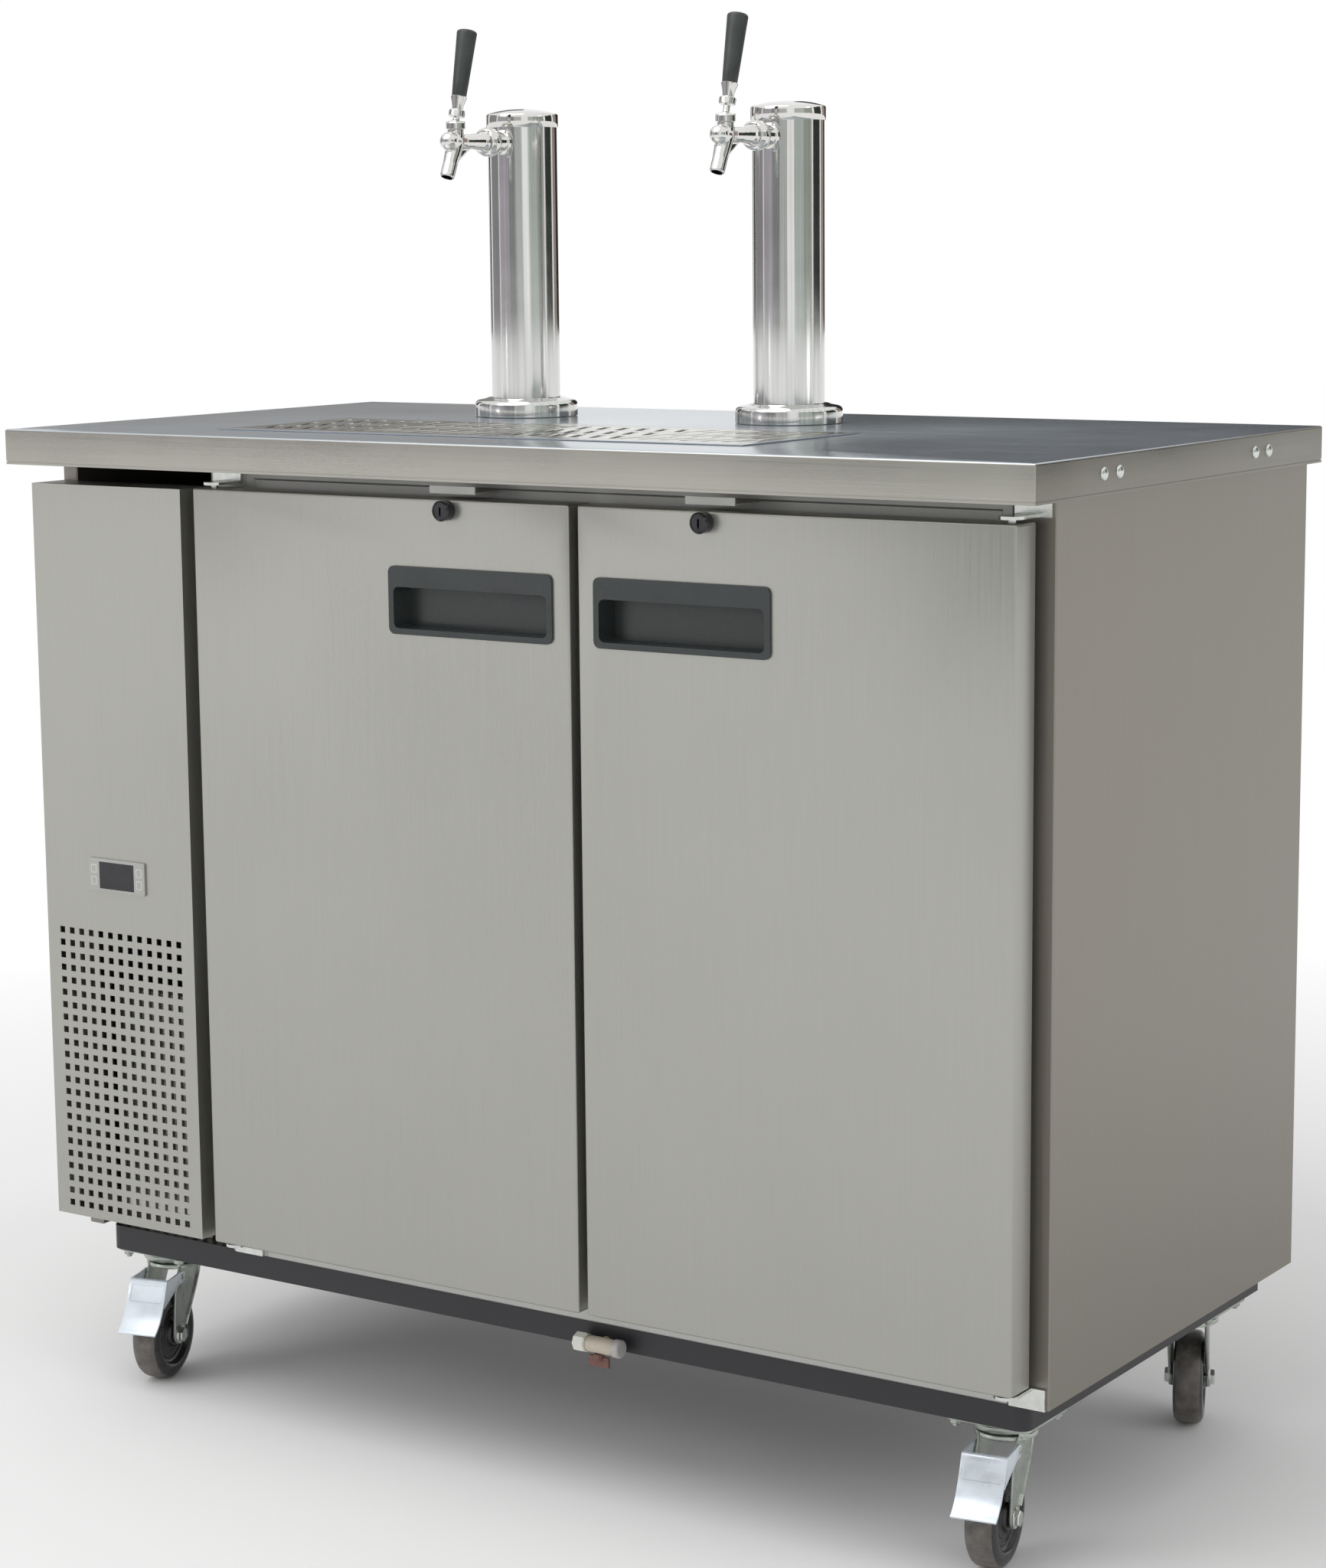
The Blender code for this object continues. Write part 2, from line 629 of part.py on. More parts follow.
def controller(panel, middle):
    height = DOOR_LOW + CONTROLLER_LIFT
    half_width = CONTROLLER_WIDTH / 2
    half_height = CONTROLLER_HEIGHT / 2
    front = DOOR_FRONT_Y - SEAT - CONTROLLER_BEZEL
    case = box("controller_housing", (middle - half_width, front, height - half_height),
               (middle + half_width, DOOR_FRONT_Y - SEAT, height + half_height), GREY_PLASTIC)
    neck = Vector((half_width - CONTROLLER_LIP, 0, half_height - CONTROLLER_LIP))
    centre = Vector((middle, 0, height))
    back = Vector((0, DOOR_FRONT_Y - SEAT + CONTROLLER_DEPTH, 0))
    weld(case, box("controller_body", centre - neck + Vector((0, front + CONTROLLER_BEZEL / 2, 0)),
                   centre + neck + back))
    room = Vector((RUNNING_GAP, 0, RUNNING_GAP))
    cut(panel, box("controller_cutout", centre - neck - room + Vector((0, DOOR_FRONT_Y - CUT_OVERRUN, 0)),
                   centre + neck + room + Vector((0, DOOR_FRONT_Y + PANEL_SHEET + CUT_OVERRUN, 0))))
    window = Vector((DISPLAY_WIDTH / 2, 0, DISPLAY_HEIGHT / 2))
    cut(case, box("display_recess", centre - window + Vector((0, front - CUT_OVERRUN, 0)),
                  centre + window + Vector((0, front + DISPLAY_RECESS, 0))))
    inside = window - room
    seat = front + DISPLAY_RECESS - SEAT
    box("controller_display", centre - inside + Vector((0, seat - DISPLAY_THICK, 0)),
        centre + inside + Vector((0, seat, 0)), DISPLAY_GLASS)


def condensing_unit():
    left = -HALF_WIDTH + MACHINE_WALL + UNIT_SIDE_GAP
    right = PANEL_RIGHT - UNIT_SIDE_GAP
    middle = (left + right) / 2
    base = PLINTH_TOP + SEAT
    coil_front = FACE_Y + COIL_FRONT_GAP
    coil_back = coil_front + COIL_DEPTH
    coil = box("condenser_coil", (left, coil_front, base), (right, coil_back, base + COIL_HEIGHT), FIN_METAL)
    pitch = (right - left) / FIN_COUNT
    slots = [(left + pitch * (number + 0.5), coil_front, base + COIL_HEIGHT / 2)
             for number in range(FIN_COUNT)]
    slot = (pitch * FIN_SLOT_SHARE, 2 * FIN_SLOT_DEPTH, COIL_HEIGHT + 2 * CUT_OVERRUN)
    cut(coil, many_boxes("fin_slots", slots, slot))
    fan_unit(left, right, middle, base, coil_back + SEAT)
    compressor(middle, base)


def evaporator():
    """A cover screwed to the rear wall, with the louvres that the cold air leaves by."""
    half = EVAPORATOR_WIDTH / 2
    back = INNER_REAR_Y
    front = back - EVAPORATOR_DEPTH
    top = BODY_TOP - SEAT
    low = top - EVAPORATOR_HEIGHT
    cover = box("evaporator_cover", (DOOR_MIDDLE - half, front, low), (DOOR_MIDDLE + half, back, top), LINER)
    soften(cover, EVAPORATOR_EDGE, 1)
    places = []
    for number in range(LOUVRE_COUNT):
        across = DOOR_MIDDLE + (number - (LOUVRE_COUNT - 1) / 2) * LOUVRE_PITCH
        places.append((across, front, (low + top) / 2))
    cut(cover, many_boxes("louvres", places, (LOUVRE_WIDTH, 2 * LOUVRE_DEPTH, LOUVRE_HEIGHT)))


def fan_unit(left, right, middle, base, front):
    back = front + SHROUD_DEPTH
    centre_z = base + SHROUD_HEIGHT / 2
    shroud = box("fan_shroud", (left, front, base), (right, back, base + SHROUD_HEIGHT), BLACK_PAINT)
    cut(shroud, rod("shroud_bore", FAN_RADIUS + FAN_TIP_GAP, (middle, front - CUT_OVERRUN, centre_z),
                    SHROUD_DEPTH + 2 * CUT_OVERRUN, "Y", facets=FACETS_FINE))
    reach = FAN_RADIUS + 2 * FAN_TIP_GAP
    spider = box("fan_spider", (middle - reach, back - SPIDER_THICK, centre_z - SPIDER_WIDTH / 2),
                 (middle + reach, back, centre_z + SPIDER_WIDTH / 2))
    hub_front = front + FAN_FRONT_GAP
    motor = rod("fan_motor", MOTOR_RADIUS, (middle, back - SPIDER_THICK / 2, centre_z), MOTOR_LENGTH, "Y",
                facets=FACETS)
    shaft_start = hub_front + FAN_HUB_DEPTH / 2
    shaft = rod("fan_shaft", FAN_SHAFT_RADIUS, (middle, shaft_start, centre_z), back - shaft_start, "Y")
    weld(shroud, spider, motor, shaft)
    axle = frame_at("fan_axle", (middle, hub_front, centre_z))
    fan = rod("condenser_fan", FAN_HUB_RADIUS, (0, 0, 0), FAN_HUB_DEPTH, "Y", BLACK_PLASTIC, axle, FACETS)
    blade_length = FAN_RADIUS - FAN_HUB_RADIUS / 2
    for number in range(FAN_BLADES):
        blade = box(f"blade_{number}", (-BLADE_WIDTH / 2, -BLADE_THICK / 2, FAN_HUB_RADIUS / 2),
                    (BLADE_WIDTH / 2, BLADE_THICK / 2, FAN_HUB_RADIUS / 2 + blade_length), group=axle)
        swing = Matrix.Rotation(2 * math.pi * number / FAN_BLADES, 3, "Y")
        blade.rotation_euler = (swing @ Matrix.Rotation(BLADE_PITCH, 3, "Z")).to_euler()
        blade.location = swing @ Vector((0, 0, FAN_HUB_RADIUS / 2 + blade_length / 2))
        blade.location.y = FAN_HUB_DEPTH / 2
        weld(fan, blade)
    bore_radius = FAN_SHAFT_RADIUS + RUNNING_GAP
    cut(fan, rod("fan_bore", bore_radius, (0, FAN_HUB_DEPTH / 2 - SEAT, 0),
                 FAN_HUB_DEPTH / 2 + SEAT + CUT_OVERRUN, "Y", group=axle))


def compressor(middle, base):
    place_y = INNER_REAR_Y - COMPRESSOR_REAR_GAP - COMPRESSOR_RADIUS
    straight = COMPRESSOR_HEIGHT - COMPRESSOR_DOME
    dome = [(COMPRESSOR_RADIUS * math.cos(angle), straight + COMPRESSOR_DOME * math.sin(angle))
            for angle in [math.radians(step) for step in (90, 60, 30, 0)]]
    dome[0] = (0, dome[0][1])
    can = turned("compressor", dome + [(COMPRESSOR_RADIUS, 0), (0, 0)], (middle, place_y, base), "Z",
                 BLACK_PAINT, facets=FACETS)
    half = Vector((COMPRESSOR_FOOT_WIDTH / 2, COMPRESSOR_FOOT_DEPTH / 2, 0))
    centre = Vector((middle, place_y, base))
    weld(can, box("compressor_foot", centre - half, centre + half + Vector((0, 0, COMPRESSOR_FOOT))))


def drip_tray():
    (left, front), (right, back) = tray_box()
    top = WORKTOP_TOP + SEAT + TRAY_FLANGE_THICK
    low = WORKTOP_TOP - TRAY_HEIGHT
    gap = TRAY_CLEARANCE
    tray = box("drip_tray", (left + gap, front + gap, low), (right - gap, back - gap, top), TOP_STEEL)
    weld(tray, box("tray_flange", (left - TRAY_FLANGE, front - TRAY_FLANGE, WORKTOP_TOP + SEAT),
                   (right + TRAY_FLANGE, back + TRAY_FLANGE, top)))
    rim = gap + TRAY_WALL
    shelf = top - GRATE_THICK - SEAT
    cut(tray, box("tray_mouth", (left + rim, front + rim, shelf),
                  (right - rim, back - rim, top + CUT_OVERRUN)))
    pan = rim + TRAY_LEDGE
    middle = (left + right) / 2
    cut(tray, box("tray_pan", (left + pan, front + pan, low + TRAY_WALL),
                  (right - pan, back - pan, shelf + CUT_OVERRUN)))
    cut(tray, rod("tray_drain", TRAY_DRAIN_RADIUS, (middle, (front + back) / 2, low - CUT_OVERRUN),
                  TRAY_WALL + 2 * CUT_OVERRUN, "Z"))
    weld(tray, box("tray_bar", (middle - TRAY_LEDGE, front + pan - TRAY_WALL, shelf - TRAY_BAR_HEIGHT),
                   (middle + TRAY_LEDGE, back - pan + TRAY_WALL, shelf)))
    edge = rim + GRATE_CLEARANCE
    for side in (-1, 1):
        inner = middle + side * GRATE_CLEARANCE / 2
        outer = right - edge if side > 0 else left + edge
        grate(side, min(inner, outer), max(inner, outer), front + edge, back - edge, top)


def grate(side, left, right, front, back, top):
    name = "drip_grate_left" if side < 0 else "drip_grate_right"
    sheet = box(name, (left, front, top - GRATE_THICK), (right, back, top), CHROME)
    field = (right - left - 3 * GRATE_MARGIN) / 2
    pitch_x = field / SLOT_COLUMNS
    pitch_y = (back - front - GRATE_MARGIN) / SLOT_ROWS
    places = []
    turns = []
    for half in (0, 1):
        start = left + GRATE_MARGIN + half * (field + GRATE_MARGIN)
        for column in range(SLOT_COLUMNS):
            for row in range(SLOT_ROWS):
                across = start + (column + 0.5) * pitch_x
                along = front + GRATE_MARGIN / 2 + (row + 0.5) * pitch_y
                places.append((across, along, top - GRATE_THICK / 2))
                turns.append(SLOT_ANGLE if half else -SLOT_ANGLE)
    slot = (SLOT_WIDTH, SLOT_LENGTH, GRATE_THICK + 2 * CUT_OVERRUN)
    cut(sheet, many_boxes(name + "_slots", places, slot, turns))


def tower(side):
    word = "left" if side < 0 else "right"
    place = Vector((TOWER_CENTRE_X + side * TOWER_SPACING / 2, TOWER_Y, WORKTOP_TOP + SEAT))
    fit = COLUMN_RADIUS + SEAT
    base = [(fit, BASE_HEIGHT), (BASE_COLLAR_RADIUS, BASE_HEIGHT)]
    quarter = math.pi / 2
    base += arc((BASE_RADIUS - BASE_SHOULDER, BASE_WALL), BASE_SHOULDER, quarter, 0, 2)
    base += [(BASE_RADIUS, 0), (fit, 0)]
    turned(f"{word}_base_flange", base, place, "Z", CHROME, facets=FACETS_FINE, ring=True)
    bore = COLUMN_RADIUS - COLUMN_WALL
    tube = [(bore, COLUMN_HEIGHT), (COLUMN_RADIUS, COLUMN_HEIGHT), (COLUMN_RADIUS, 0), (bore, 0)]
    column = turned(f"{word}_column", tube, place, "Z", CHROME, facets=FACETS_FINE, ring=True)
    hole = SHANK_RADIUS + RUNNING_GAP
    cut(column, rod(f"{word}_shank_hole", hole, (place.x, place.y, TAP_Z), 2 * COLUMN_RADIUS, "-Y"))
    cap_top = COLUMN_HEIGHT + SEAT
    plug = bore - RUNNING_GAP
    across_share, crown_share, edge_share = CAP_DOME_SHARES
    cap = [(0, cap_top + CAP_DOME), (CAP_RADIUS * across_share, cap_top + CAP_DOME * crown_share),
           (CAP_RADIUS, cap_top + CAP_DOME * edge_share),
           (CAP_RADIUS, COLUMN_HEIGHT - CAP_RIM), (COLUMN_RADIUS + RUNNING_GAP, COLUMN_HEIGHT - CAP_RIM),
           (COLUMN_RADIUS + RUNNING_GAP, cap_top), (plug, cap_top), (plug, COLUMN_HEIGHT - CAP_PLUG),
           (0, COLUMN_HEIGHT - CAP_PLUG)]
    turned(f"{word}_column_cap", cap, place, "Z", CHROME, facets=FACETS_FINE)
    tap(word, side, place.x)


def tap(word, side, place_x):
    face = TOWER_Y - COLUMN_RADIUS - SEAT
    nut_low = SHANK_LENGTH - NUT_LENGTH
    nut_edge = NUT_RADIUS - NUT_CHAMFER
    shank = [(0, SHANK_LENGTH), (nut_edge, SHANK_LENGTH), (NUT_RADIUS, SHANK_LENGTH - NUT_CHAMFER),
             (NUT_RADIUS, nut_low + NUT_CHAMFER), (nut_edge, nut_low), (SHANK_RADIUS, nut_low),
             (SHANK_RADIUS, SHANK_FLANGE), (SHANK_FLANGE_RADIUS, SHANK_FLANGE), (SHANK_FLANGE_RADIUS, 0),
             (SHANK_RADIUS, 0), (SHANK_RADIUS, -SHANK_INNER), (0, -SHANK_INNER)]
    turned(f"{word}_faucet_shank", shank, (place_x, face, TAP_Z), "-Y", CHROME)
    faucet(word, place_x, face - SHANK_LENGTH - SEAT)
    tap_lever(word, side, place_x, face - SHANK_LENGTH - SEAT)


def faucet(word, place_x, root_y):
    ball = BODY_LENGTH
    joint = ball - math.sqrt(BALL_RADIUS ** 2 - BODY_WAIST_RADIUS ** 2)
    nose = [(BALL_RADIUS * math.sin(angle), ball + BALL_RADIUS * math.cos(angle))
            for angle in [math.radians(step) for step in (0, 45, 90)]]
    nose[0] = (0, nose[0][1])
    waist_share, root_share = BODY_TAPER_SHARES
    body = turned(f"{word}_faucet_body",
                  nose + [(BODY_WAIST_RADIUS, joint), (BODY_WAIST_RADIUS, ball * waist_share),
                          (BODY_ROOT_RADIUS, ball * root_share), (BODY_ROOT_RADIUS, 0), (0, 0)],
                  (place_x, root_y, TAP_Z), "-Y", CHROME)
    bonnet_y = root_y - BODY_LENGTH + BONNET_SETBACK
    ring_low = BONNET_HEIGHT - BONNET_RING
    bonnet = [(0, BONNET_HEIGHT), (BONNET_RADIUS, BONNET_HEIGHT), (BONNET_RADIUS, ring_low),
              (BONNET_NECK_RADIUS, ring_low), (BONNET_NECK_RADIUS, 0), (0, 0)]
    weld(body, turned(f"{word}_bonnet", bonnet, (place_x, bonnet_y, TAP_Z), "Z"))
    forward = Matrix.Rotation(math.pi - SPOUT_ANGLE, 3, "X")
    spout = [(0, SPOUT_LENGTH), (SPOUT_RADIUS, SPOUT_LENGTH), (SPOUT_RADIUS, 0), (0, 0)]
    weld(body, turned(f"{word}_spout", spout, (place_x, bonnet_y, TAP_Z), "Z", turn=forward))
    mouth = [(0, SPOUT_LENGTH + CUT_OVERRUN), (SPOUT_BORE, SPOUT_LENGTH + CUT_OVERRUN),
             (SPOUT_BORE, SPOUT_LENGTH - SPOUT_BORE_DEPTH), (0, SPOUT_LENGTH - SPOUT_BORE_DEPTH)]
    cut(body, turned(f"{word}_spout_mouth", mouth, (place_x, bonnet_y, TAP_Z), "Z", turn=forward))
    socket_depth = LEVER_SINK + LEVER_BALL_RADIUS + RUNNING_GAP
    cut(body, rod(f"{word}_lever_socket", LEVER_BALL_RADIUS + RUNNING_GAP,
                  (place_x, bonnet_y, TAP_Z + BONNET_HEIGHT - socket_depth), socket_depth + CUT_OVERRUN, "Z",
                  facets=FACETS))


def tap_lever(word, side, place_x, root_y):
    bonnet_y = root_y - BODY_LENGTH + BONNET_SETBACK
    pivot = frame_at(f"{word}_lever_pivot", (place_x, bonnet_y, TAP_Z + BONNET_HEIGHT - LEVER_SINK))
    neck = LEVER_NECKS[0] if side < 0 else LEVER_NECKS[1]
    nut_top = neck + LEVER_NUT_HEIGHT
    ferrule_top = nut_top + FERRULE_HEIGHT
    grip_top = ferrule_top + GRIP_HEIGHT
    profile = [(0, grip_top), (GRIP_TOP_RADIUS - GRIP_EDGE, grip_top),
               (GRIP_TOP_RADIUS, grip_top - GRIP_EDGE), (GRIP_LOW_RADIUS, ferrule_top),
               (FERRULE_TOP_RADIUS, ferrule_top), (FERRULE_LOW_RADIUS, nut_top),
               (LEVER_NUT_RADIUS, nut_top), (LEVER_NUT_RADIUS, neck), (LEVER_STEM_RADIUS, neck)]
    start = math.asin(LEVER_STEM_RADIUS / LEVER_BALL_RADIUS)
    angles = [start + (math.pi - start) * step / 4 for step in range(5)]
    profile += [(LEVER_BALL_RADIUS * math.sin(angle), LEVER_BALL_RADIUS * math.cos(angle))
                for angle in angles]
    profile[-1] = (0, profile[-1][1])
    turned(f"{word}_tap_handle", profile, (0, 0, 0), "Z", BLACK_PLASTIC, pivot,
           turn=Matrix.Rotation(-LEVER_LEAN, 3, "X"))


def door(side):
    """Side -1 hinges at its left edge and +1 at its right edge."""
    word = "left" if side < 0 else "right"
    hinge_x = DOORS_LEFT if side < 0 else DOORS_RIGHT
    pivot = frame_at(f"{word}_door_hinge_line", (hinge_x - side * PIVOT_INSET, PIVOT_Y, 0))
    half_thick = DOOR_THICK / 2
    outer = side * PIVOT_INSET
    free = outer - side * DOOR_WIDTH
    low, high = min(outer, free), max(outer, free)
    slab = box(f"{word}_door_panel", (low, -half_thick, DOOR_LOW), (high, half_thick, DOOR_TOP),
               FRONT_STEEL, pivot)
    soften(slab, SHEET_EDGE, 1)
    pocket = PIN_DEPTH + SEAT
    bore = PIN_RADIUS + SEAT
    for number, start in enumerate((DOOR_TOP - pocket, DOOR_LOW - CUT_OVERRUN)):
        cut(slab, rod(f"{word}_pin_bore_{number}", bore, (0, 0, start), pocket + CUT_OVERRUN, "Z",
                      group=pivot))
    handle(word, slab, pivot, side, free)
    door_lock(word, slab, pivot, side, free)
    gasket(word, pivot, low, high)
    hinge(word, side, hinge_x, True)
    hinge(word, side, hinge_x, False)


def handle(word, slab, pivot, side, free):
    near = free + side * HANDLE_EDGE_INSET
    far = near + side * HANDLE_WIDTH
    left, right = min(near, far), max(near, far)
    top = DOOR_TOP - HANDLE_DROP
    low = top - HANDLE_HEIGHT
    front = -DOOR_THICK / 2
    cup_low = Vector((left + CUP_SIDE_LIP, 0, low + CUP_BOTTOM_LIP))
    cup_high = Vector((right - CUP_SIDE_LIP, 0, top - CUP_TOP_LIP))
    face = front - SEAT - HANDLE_PROUD
    quarter = math.pi / 2
    corner = HANDLE_CORNER
    outline = [(left, -top), (right, -top)]
    outline += arc((right - corner, -low - corner), corner, 0, quarter, 3)
    outline += arc((left + corner, -low - corner), corner, quarter, 2 * quarter, 3)
    cup = plate(f"{word}_handle_recess", outline, HANDLE_PROUD, (0, face, 0), "Y", BLACK_PLASTIC, pivot)
    wall = Vector((CUP_WALL, 0, CUP_WALL))
    back = front + CUP_DEPTH
    weld(cup, box(f"{word}_cup_shell", cup_low - wall + Vector((0, face + HANDLE_PROUD / 2, 0)),
                  cup_high + wall + Vector((0, back, 0)), group=pivot))
    cut(cup, box(f"{word}_cup_hollow", cup_low + Vector((0, face - CUT_OVERRUN, 0)),
                 cup_high + Vector((0, back - CUP_WALL, 0)), group=pivot))
    room = wall + Vector((SEAT, 0, SEAT))
    cut(slab, box(f"{word}_handle_pocket", cup_low - room + Vector((0, front - CUT_OVERRUN, 0)),
                  cup_high + room + Vector((0, back + SEAT, 0)), group=pivot))


def door_lock(word, slab, pivot, side, free):
    across = free + side * LOCK_EDGE_INSET
    height = DOOR_TOP - LOCK_DROP
    front = -DOOR_THICK / 2
    head = LOCK_PROUD + SEAT
    across_share, along_share = LOCK_NOSE_SHARES
    barrel = [(0, head), (LOCK_RADIUS * across_share, head), (LOCK_RADIUS, head * along_share),
              (LOCK_RADIUS, SEAT), (LOCK_SHANK_RADIUS, SEAT), (LOCK_SHANK_RADIUS, -LOCK_SHANK),
              (0, -LOCK_SHANK)]
    place = (across, front, height)
    lock = turned(f"{word}_lock_barrel", barrel, place, "-Y", BLACK_CHROME, pivot)
    tip = front - head
    slot_low = (across - KEYWAY_WIDTH / 2, tip - CUT_OVERRUN, height - KEYWAY_LENGTH / 2)
    slot_high = (across + KEYWAY_WIDTH / 2, tip + KEYWAY_DEPTH, height + KEYWAY_LENGTH / 2)
    cut(lock, box(f"{word}_keyway", slot_low, slot_high, group=pivot))
    depth = LOCK_SHANK + SEAT + CUT_OVERRUN
    cut(slab, rod(f"{word}_lock_bore", LOCK_SHANK_RADIUS + RUNNING_GAP, (across, front - CUT_OVERRUN, height),
                  depth, "Y", group=pivot, facets=FACETS))


def gasket(word, pivot, low, high):
    inset = PIVOT_INSET + GASKET_CLEARANCE
    back = DOOR_THICK / 2 + SEAT
    front = DOOR_THICK / 2 + DOOR_STANDOFF - SEAT
    outer = (low + inset, back, DOOR_LOW + inset), (high - inset, front, DOOR_TOP - inset)
    strip = box(f"{word}_door_gasket", *outer, GASKET_RUBBER, pivot)
    margin = inset + GASKET_WIDTH
    cut(strip, box(f"{word}_gasket_window", (low + margin, back - CUT_OVERRUN, DOOR_LOW + margin),
                   (high - margin, front + CUT_OVERRUN, DOOR_TOP - margin), group=pivot))


def hinge(word, side, hinge_x, upper):
    """A bracket fixed to the cabinet's face, with the pin that enters the door's end."""
    name = f"{word}_top_hinge" if upper else f"{word}_bottom_hinge"
    up = 1 if upper else -1
    door_end = DOOR_TOP if upper else DOOR_LOW
    pin_x = hinge_x - side * PIVOT_INSET
    near = door_end + up * HINGE_CLEARANCE
    far = near + up * HINGE_SHEET
    low, high = min(near, far), max(near, far)
    half_arm = HINGE_ARM_WIDTH / 2
    back = FACE_Y - SEAT
    arm = box(name, (pin_x - half_arm, PIVOT_Y, low), (pin_x + half_arm, back, high), ZINC)
    weld(arm, rod(name + "_eye", half_arm, (pin_x, PIVOT_Y, low), HINGE_SHEET, "Z"))
    pin_inner = door_end - up * PIN_DEPTH
    pin_low = min(pin_inner, near + up * HINGE_SHEET / 2)
    pin_length = abs(pin_inner - near - up * HINGE_SHEET / 2)
    weld(arm, rod(name + "_pin", PIN_RADIUS, (pin_x, PIVOT_Y, pin_low), pin_length, "Z"))
    tab_edge = pin_x + side * HINGE_TAB_WIDTH
    tab_left, tab_right = min(pin_x - side * half_arm, tab_edge), max(pin_x - side * half_arm, tab_edge)
    if upper:
        tab_low, tab_high = low, low + HINGE_TOP_TAB
    else:
        tab_low, tab_high = low - HINGE_TAB_RISE, high
    weld(arm, box(name + "_tab", (tab_left, back - HINGE_SHEET, tab_low), (tab_right, back, tab_high)))


def drain_valve():
    height = PLINTH_TOP - VALVE_DROP
    centre_y = PLINTH_FRONT - SEAT - VALVE_STANDOFF - VALVE_RADIUS
    half = VALVE_LENGTH / 2
    profile = [(0, half), (VALVE_NUT_RADIUS, half), (VALVE_NUT_RADIUS, half - VALVE_NUT_LENGTH),
               (VALVE_RADIUS, half - VALVE_NUT_LENGTH), (VALVE_RADIUS, VALVE_NUT_LENGTH - half),
               (VALVE_NUT_RADIUS, VALVE_NUT_LENGTH - half), (VALVE_NUT_RADIUS, -half), (0, -half)]
    place = (VALVE_X, centre_y, height)
    body = turned("drain_valve_body", profile, place, "X", VALVE_PLASTIC, facets=FACETS_SMALL)
    stub = rod("valve_stub", VALVE_STUB_RADIUS, place, VALVE_STANDOFF + VALVE_RADIUS, "Y")
    stem_low = height - VALVE_RADIUS - SEAT
    weld(body, stub)
    axle = frame_at("drain_lever_axle", (VALVE_X, centre_y, stem_low))
    hub = rod("drain_valve_lever", VALVE_LEVER_RADIUS, (0, 0, -VALVE_LEVER_HUB), VALVE_LEVER_HUB, "Z",
              COPPER_BROWN, axle)
    half_thick = VALVE_LEVER_THICK / 2
    half_long = VALVE_LEVER_LENGTH / 2
    weld(hub, box("lever_paddle", (-half_long, -half_thick, -VALVE_LEVER_HUB - VALVE_LEVER_HEIGHT),
                  (half_long, half_thick, -VALVE_LEVER_HUB / 2), group=axle))


def caster(word, place_x, place_y, braked):
    yaw = CASTER_YAWS[word]
    plate_top = CASTER_HEIGHT - SEAT
    plate_low = plate_top - PLATE_THICK
    half = Vector((PLATE_WIDTH / 2, PLATE_DEPTH / 2, 0))
    centre = Vector((place_x, place_y, 0))
    mount = box(f"{word}_caster_plate", centre - half + Vector((0, 0, plate_low)),
                centre + half + Vector((0, 0, plate_top)), ZINC)
    race_low = plate_low - RACE_HEIGHT
    crown_low = race_low - SEAT - CROWN_THICK
    race = rod(f"{word}_race", RACE_RADIUS, centre + Vector((0, 0, race_low)),
               RACE_HEIGHT + PLATE_THICK / 2, "Z", facets=FACETS)
    kingpin = rod(f"{word}_kingpin", KINGPIN_RADIUS, centre + Vector((0, 0, crown_low)),
                  CROWN_THICK + RACE_HEIGHT, "Z")
    weld(mount, race, kingpin)
    swivel = frame_at(f"{word}_swivel", centre, yaw)
    fork(word, swivel, crown_low, braked)
    wheel(word, swivel)
    if braked:
        brake_pedal(word, swivel, crown_low + CROWN_THICK)


def leg_span():
    inner = WHEEL_WIDTH / 2 + LEG_GAP
    return inner, inner + LEG_THICK


def fork(word, swivel, crown_low, braked):
    crown_top = crown_low + CROWN_THICK
    crown = rod(f"{word}_fork", CROWN_RADIUS, (0, 0, crown_low), CROWN_THICK, "Z", ZINC, swivel, FACETS)
    inner, outer = leg_span()
    foot = LEG_FOOT_RADIUS
    lean = math.atan2(LEG_TOP_REAR + TRAIL - foot, crown_top - WHEEL_RADIUS)
    tip = arc((-TRAIL, WHEEL_RADIUS), foot, -math.pi - lean / 2, lean / 2, 5)
    outline = [(LEG_TOP_REAR, crown_top), (-LEG_TOP_FRONT, crown_top)] + tip
    sideways = Matrix.Rotation(math.pi / 2, 3, "Z") @ Matrix.Rotation(math.pi / 2, 3, "X")
    for number, start in enumerate((-outer, inner)):
        leg = plate(f"{word}_leg_{number}", outline, LEG_THICK, (start, 0, 0), "Z", None, swivel)
        leg.rotation_euler = sideways.to_euler()
        weld(crown, leg)
    reach = outer + AXLE_HEAD
    weld(crown, rod(f"{word}_axle", AXLE_RADIUS, (-outer - LEG_GAP, -TRAIL, WHEEL_RADIUS),
                    2 * (outer + LEG_GAP), "X", group=swivel))
    for number, start in enumerate((-reach, outer - LEG_THICK / 2)):
        weld(crown, rod(f"{word}_axle_head_{number}", AXLE_HEAD_RADIUS, (start, -TRAIL, WHEEL_RADIUS),
                        AXLE_HEAD + LEG_THICK / 2, "X", group=swivel, facets=6))
    if braked:
        pin_z = crown_top - PEDAL_PIN_DROP
        pin_reach = outer + SEAT + PEDAL_SHEET + SEAT
        for number, start in enumerate((-pin_reach, inner + LEG_THICK / 2)):
            weld(crown, rod(f"{word}_pedal_pin_{number}", PEDAL_PIN_RADIUS, (start, PEDAL_PIN_Y, pin_z),
                            pin_reach - inner - LEG_THICK / 2, "X", group=swivel))
    hole = KINGPIN_RADIUS + RUNNING_GAP
    cut(crown, rod(f"{word}_kingpin_hole", hole, (0, 0, crown_low - CUT_OVERRUN),
                   CROWN_THICK + 2 * CUT_OVERRUN, "Z", group=swivel))


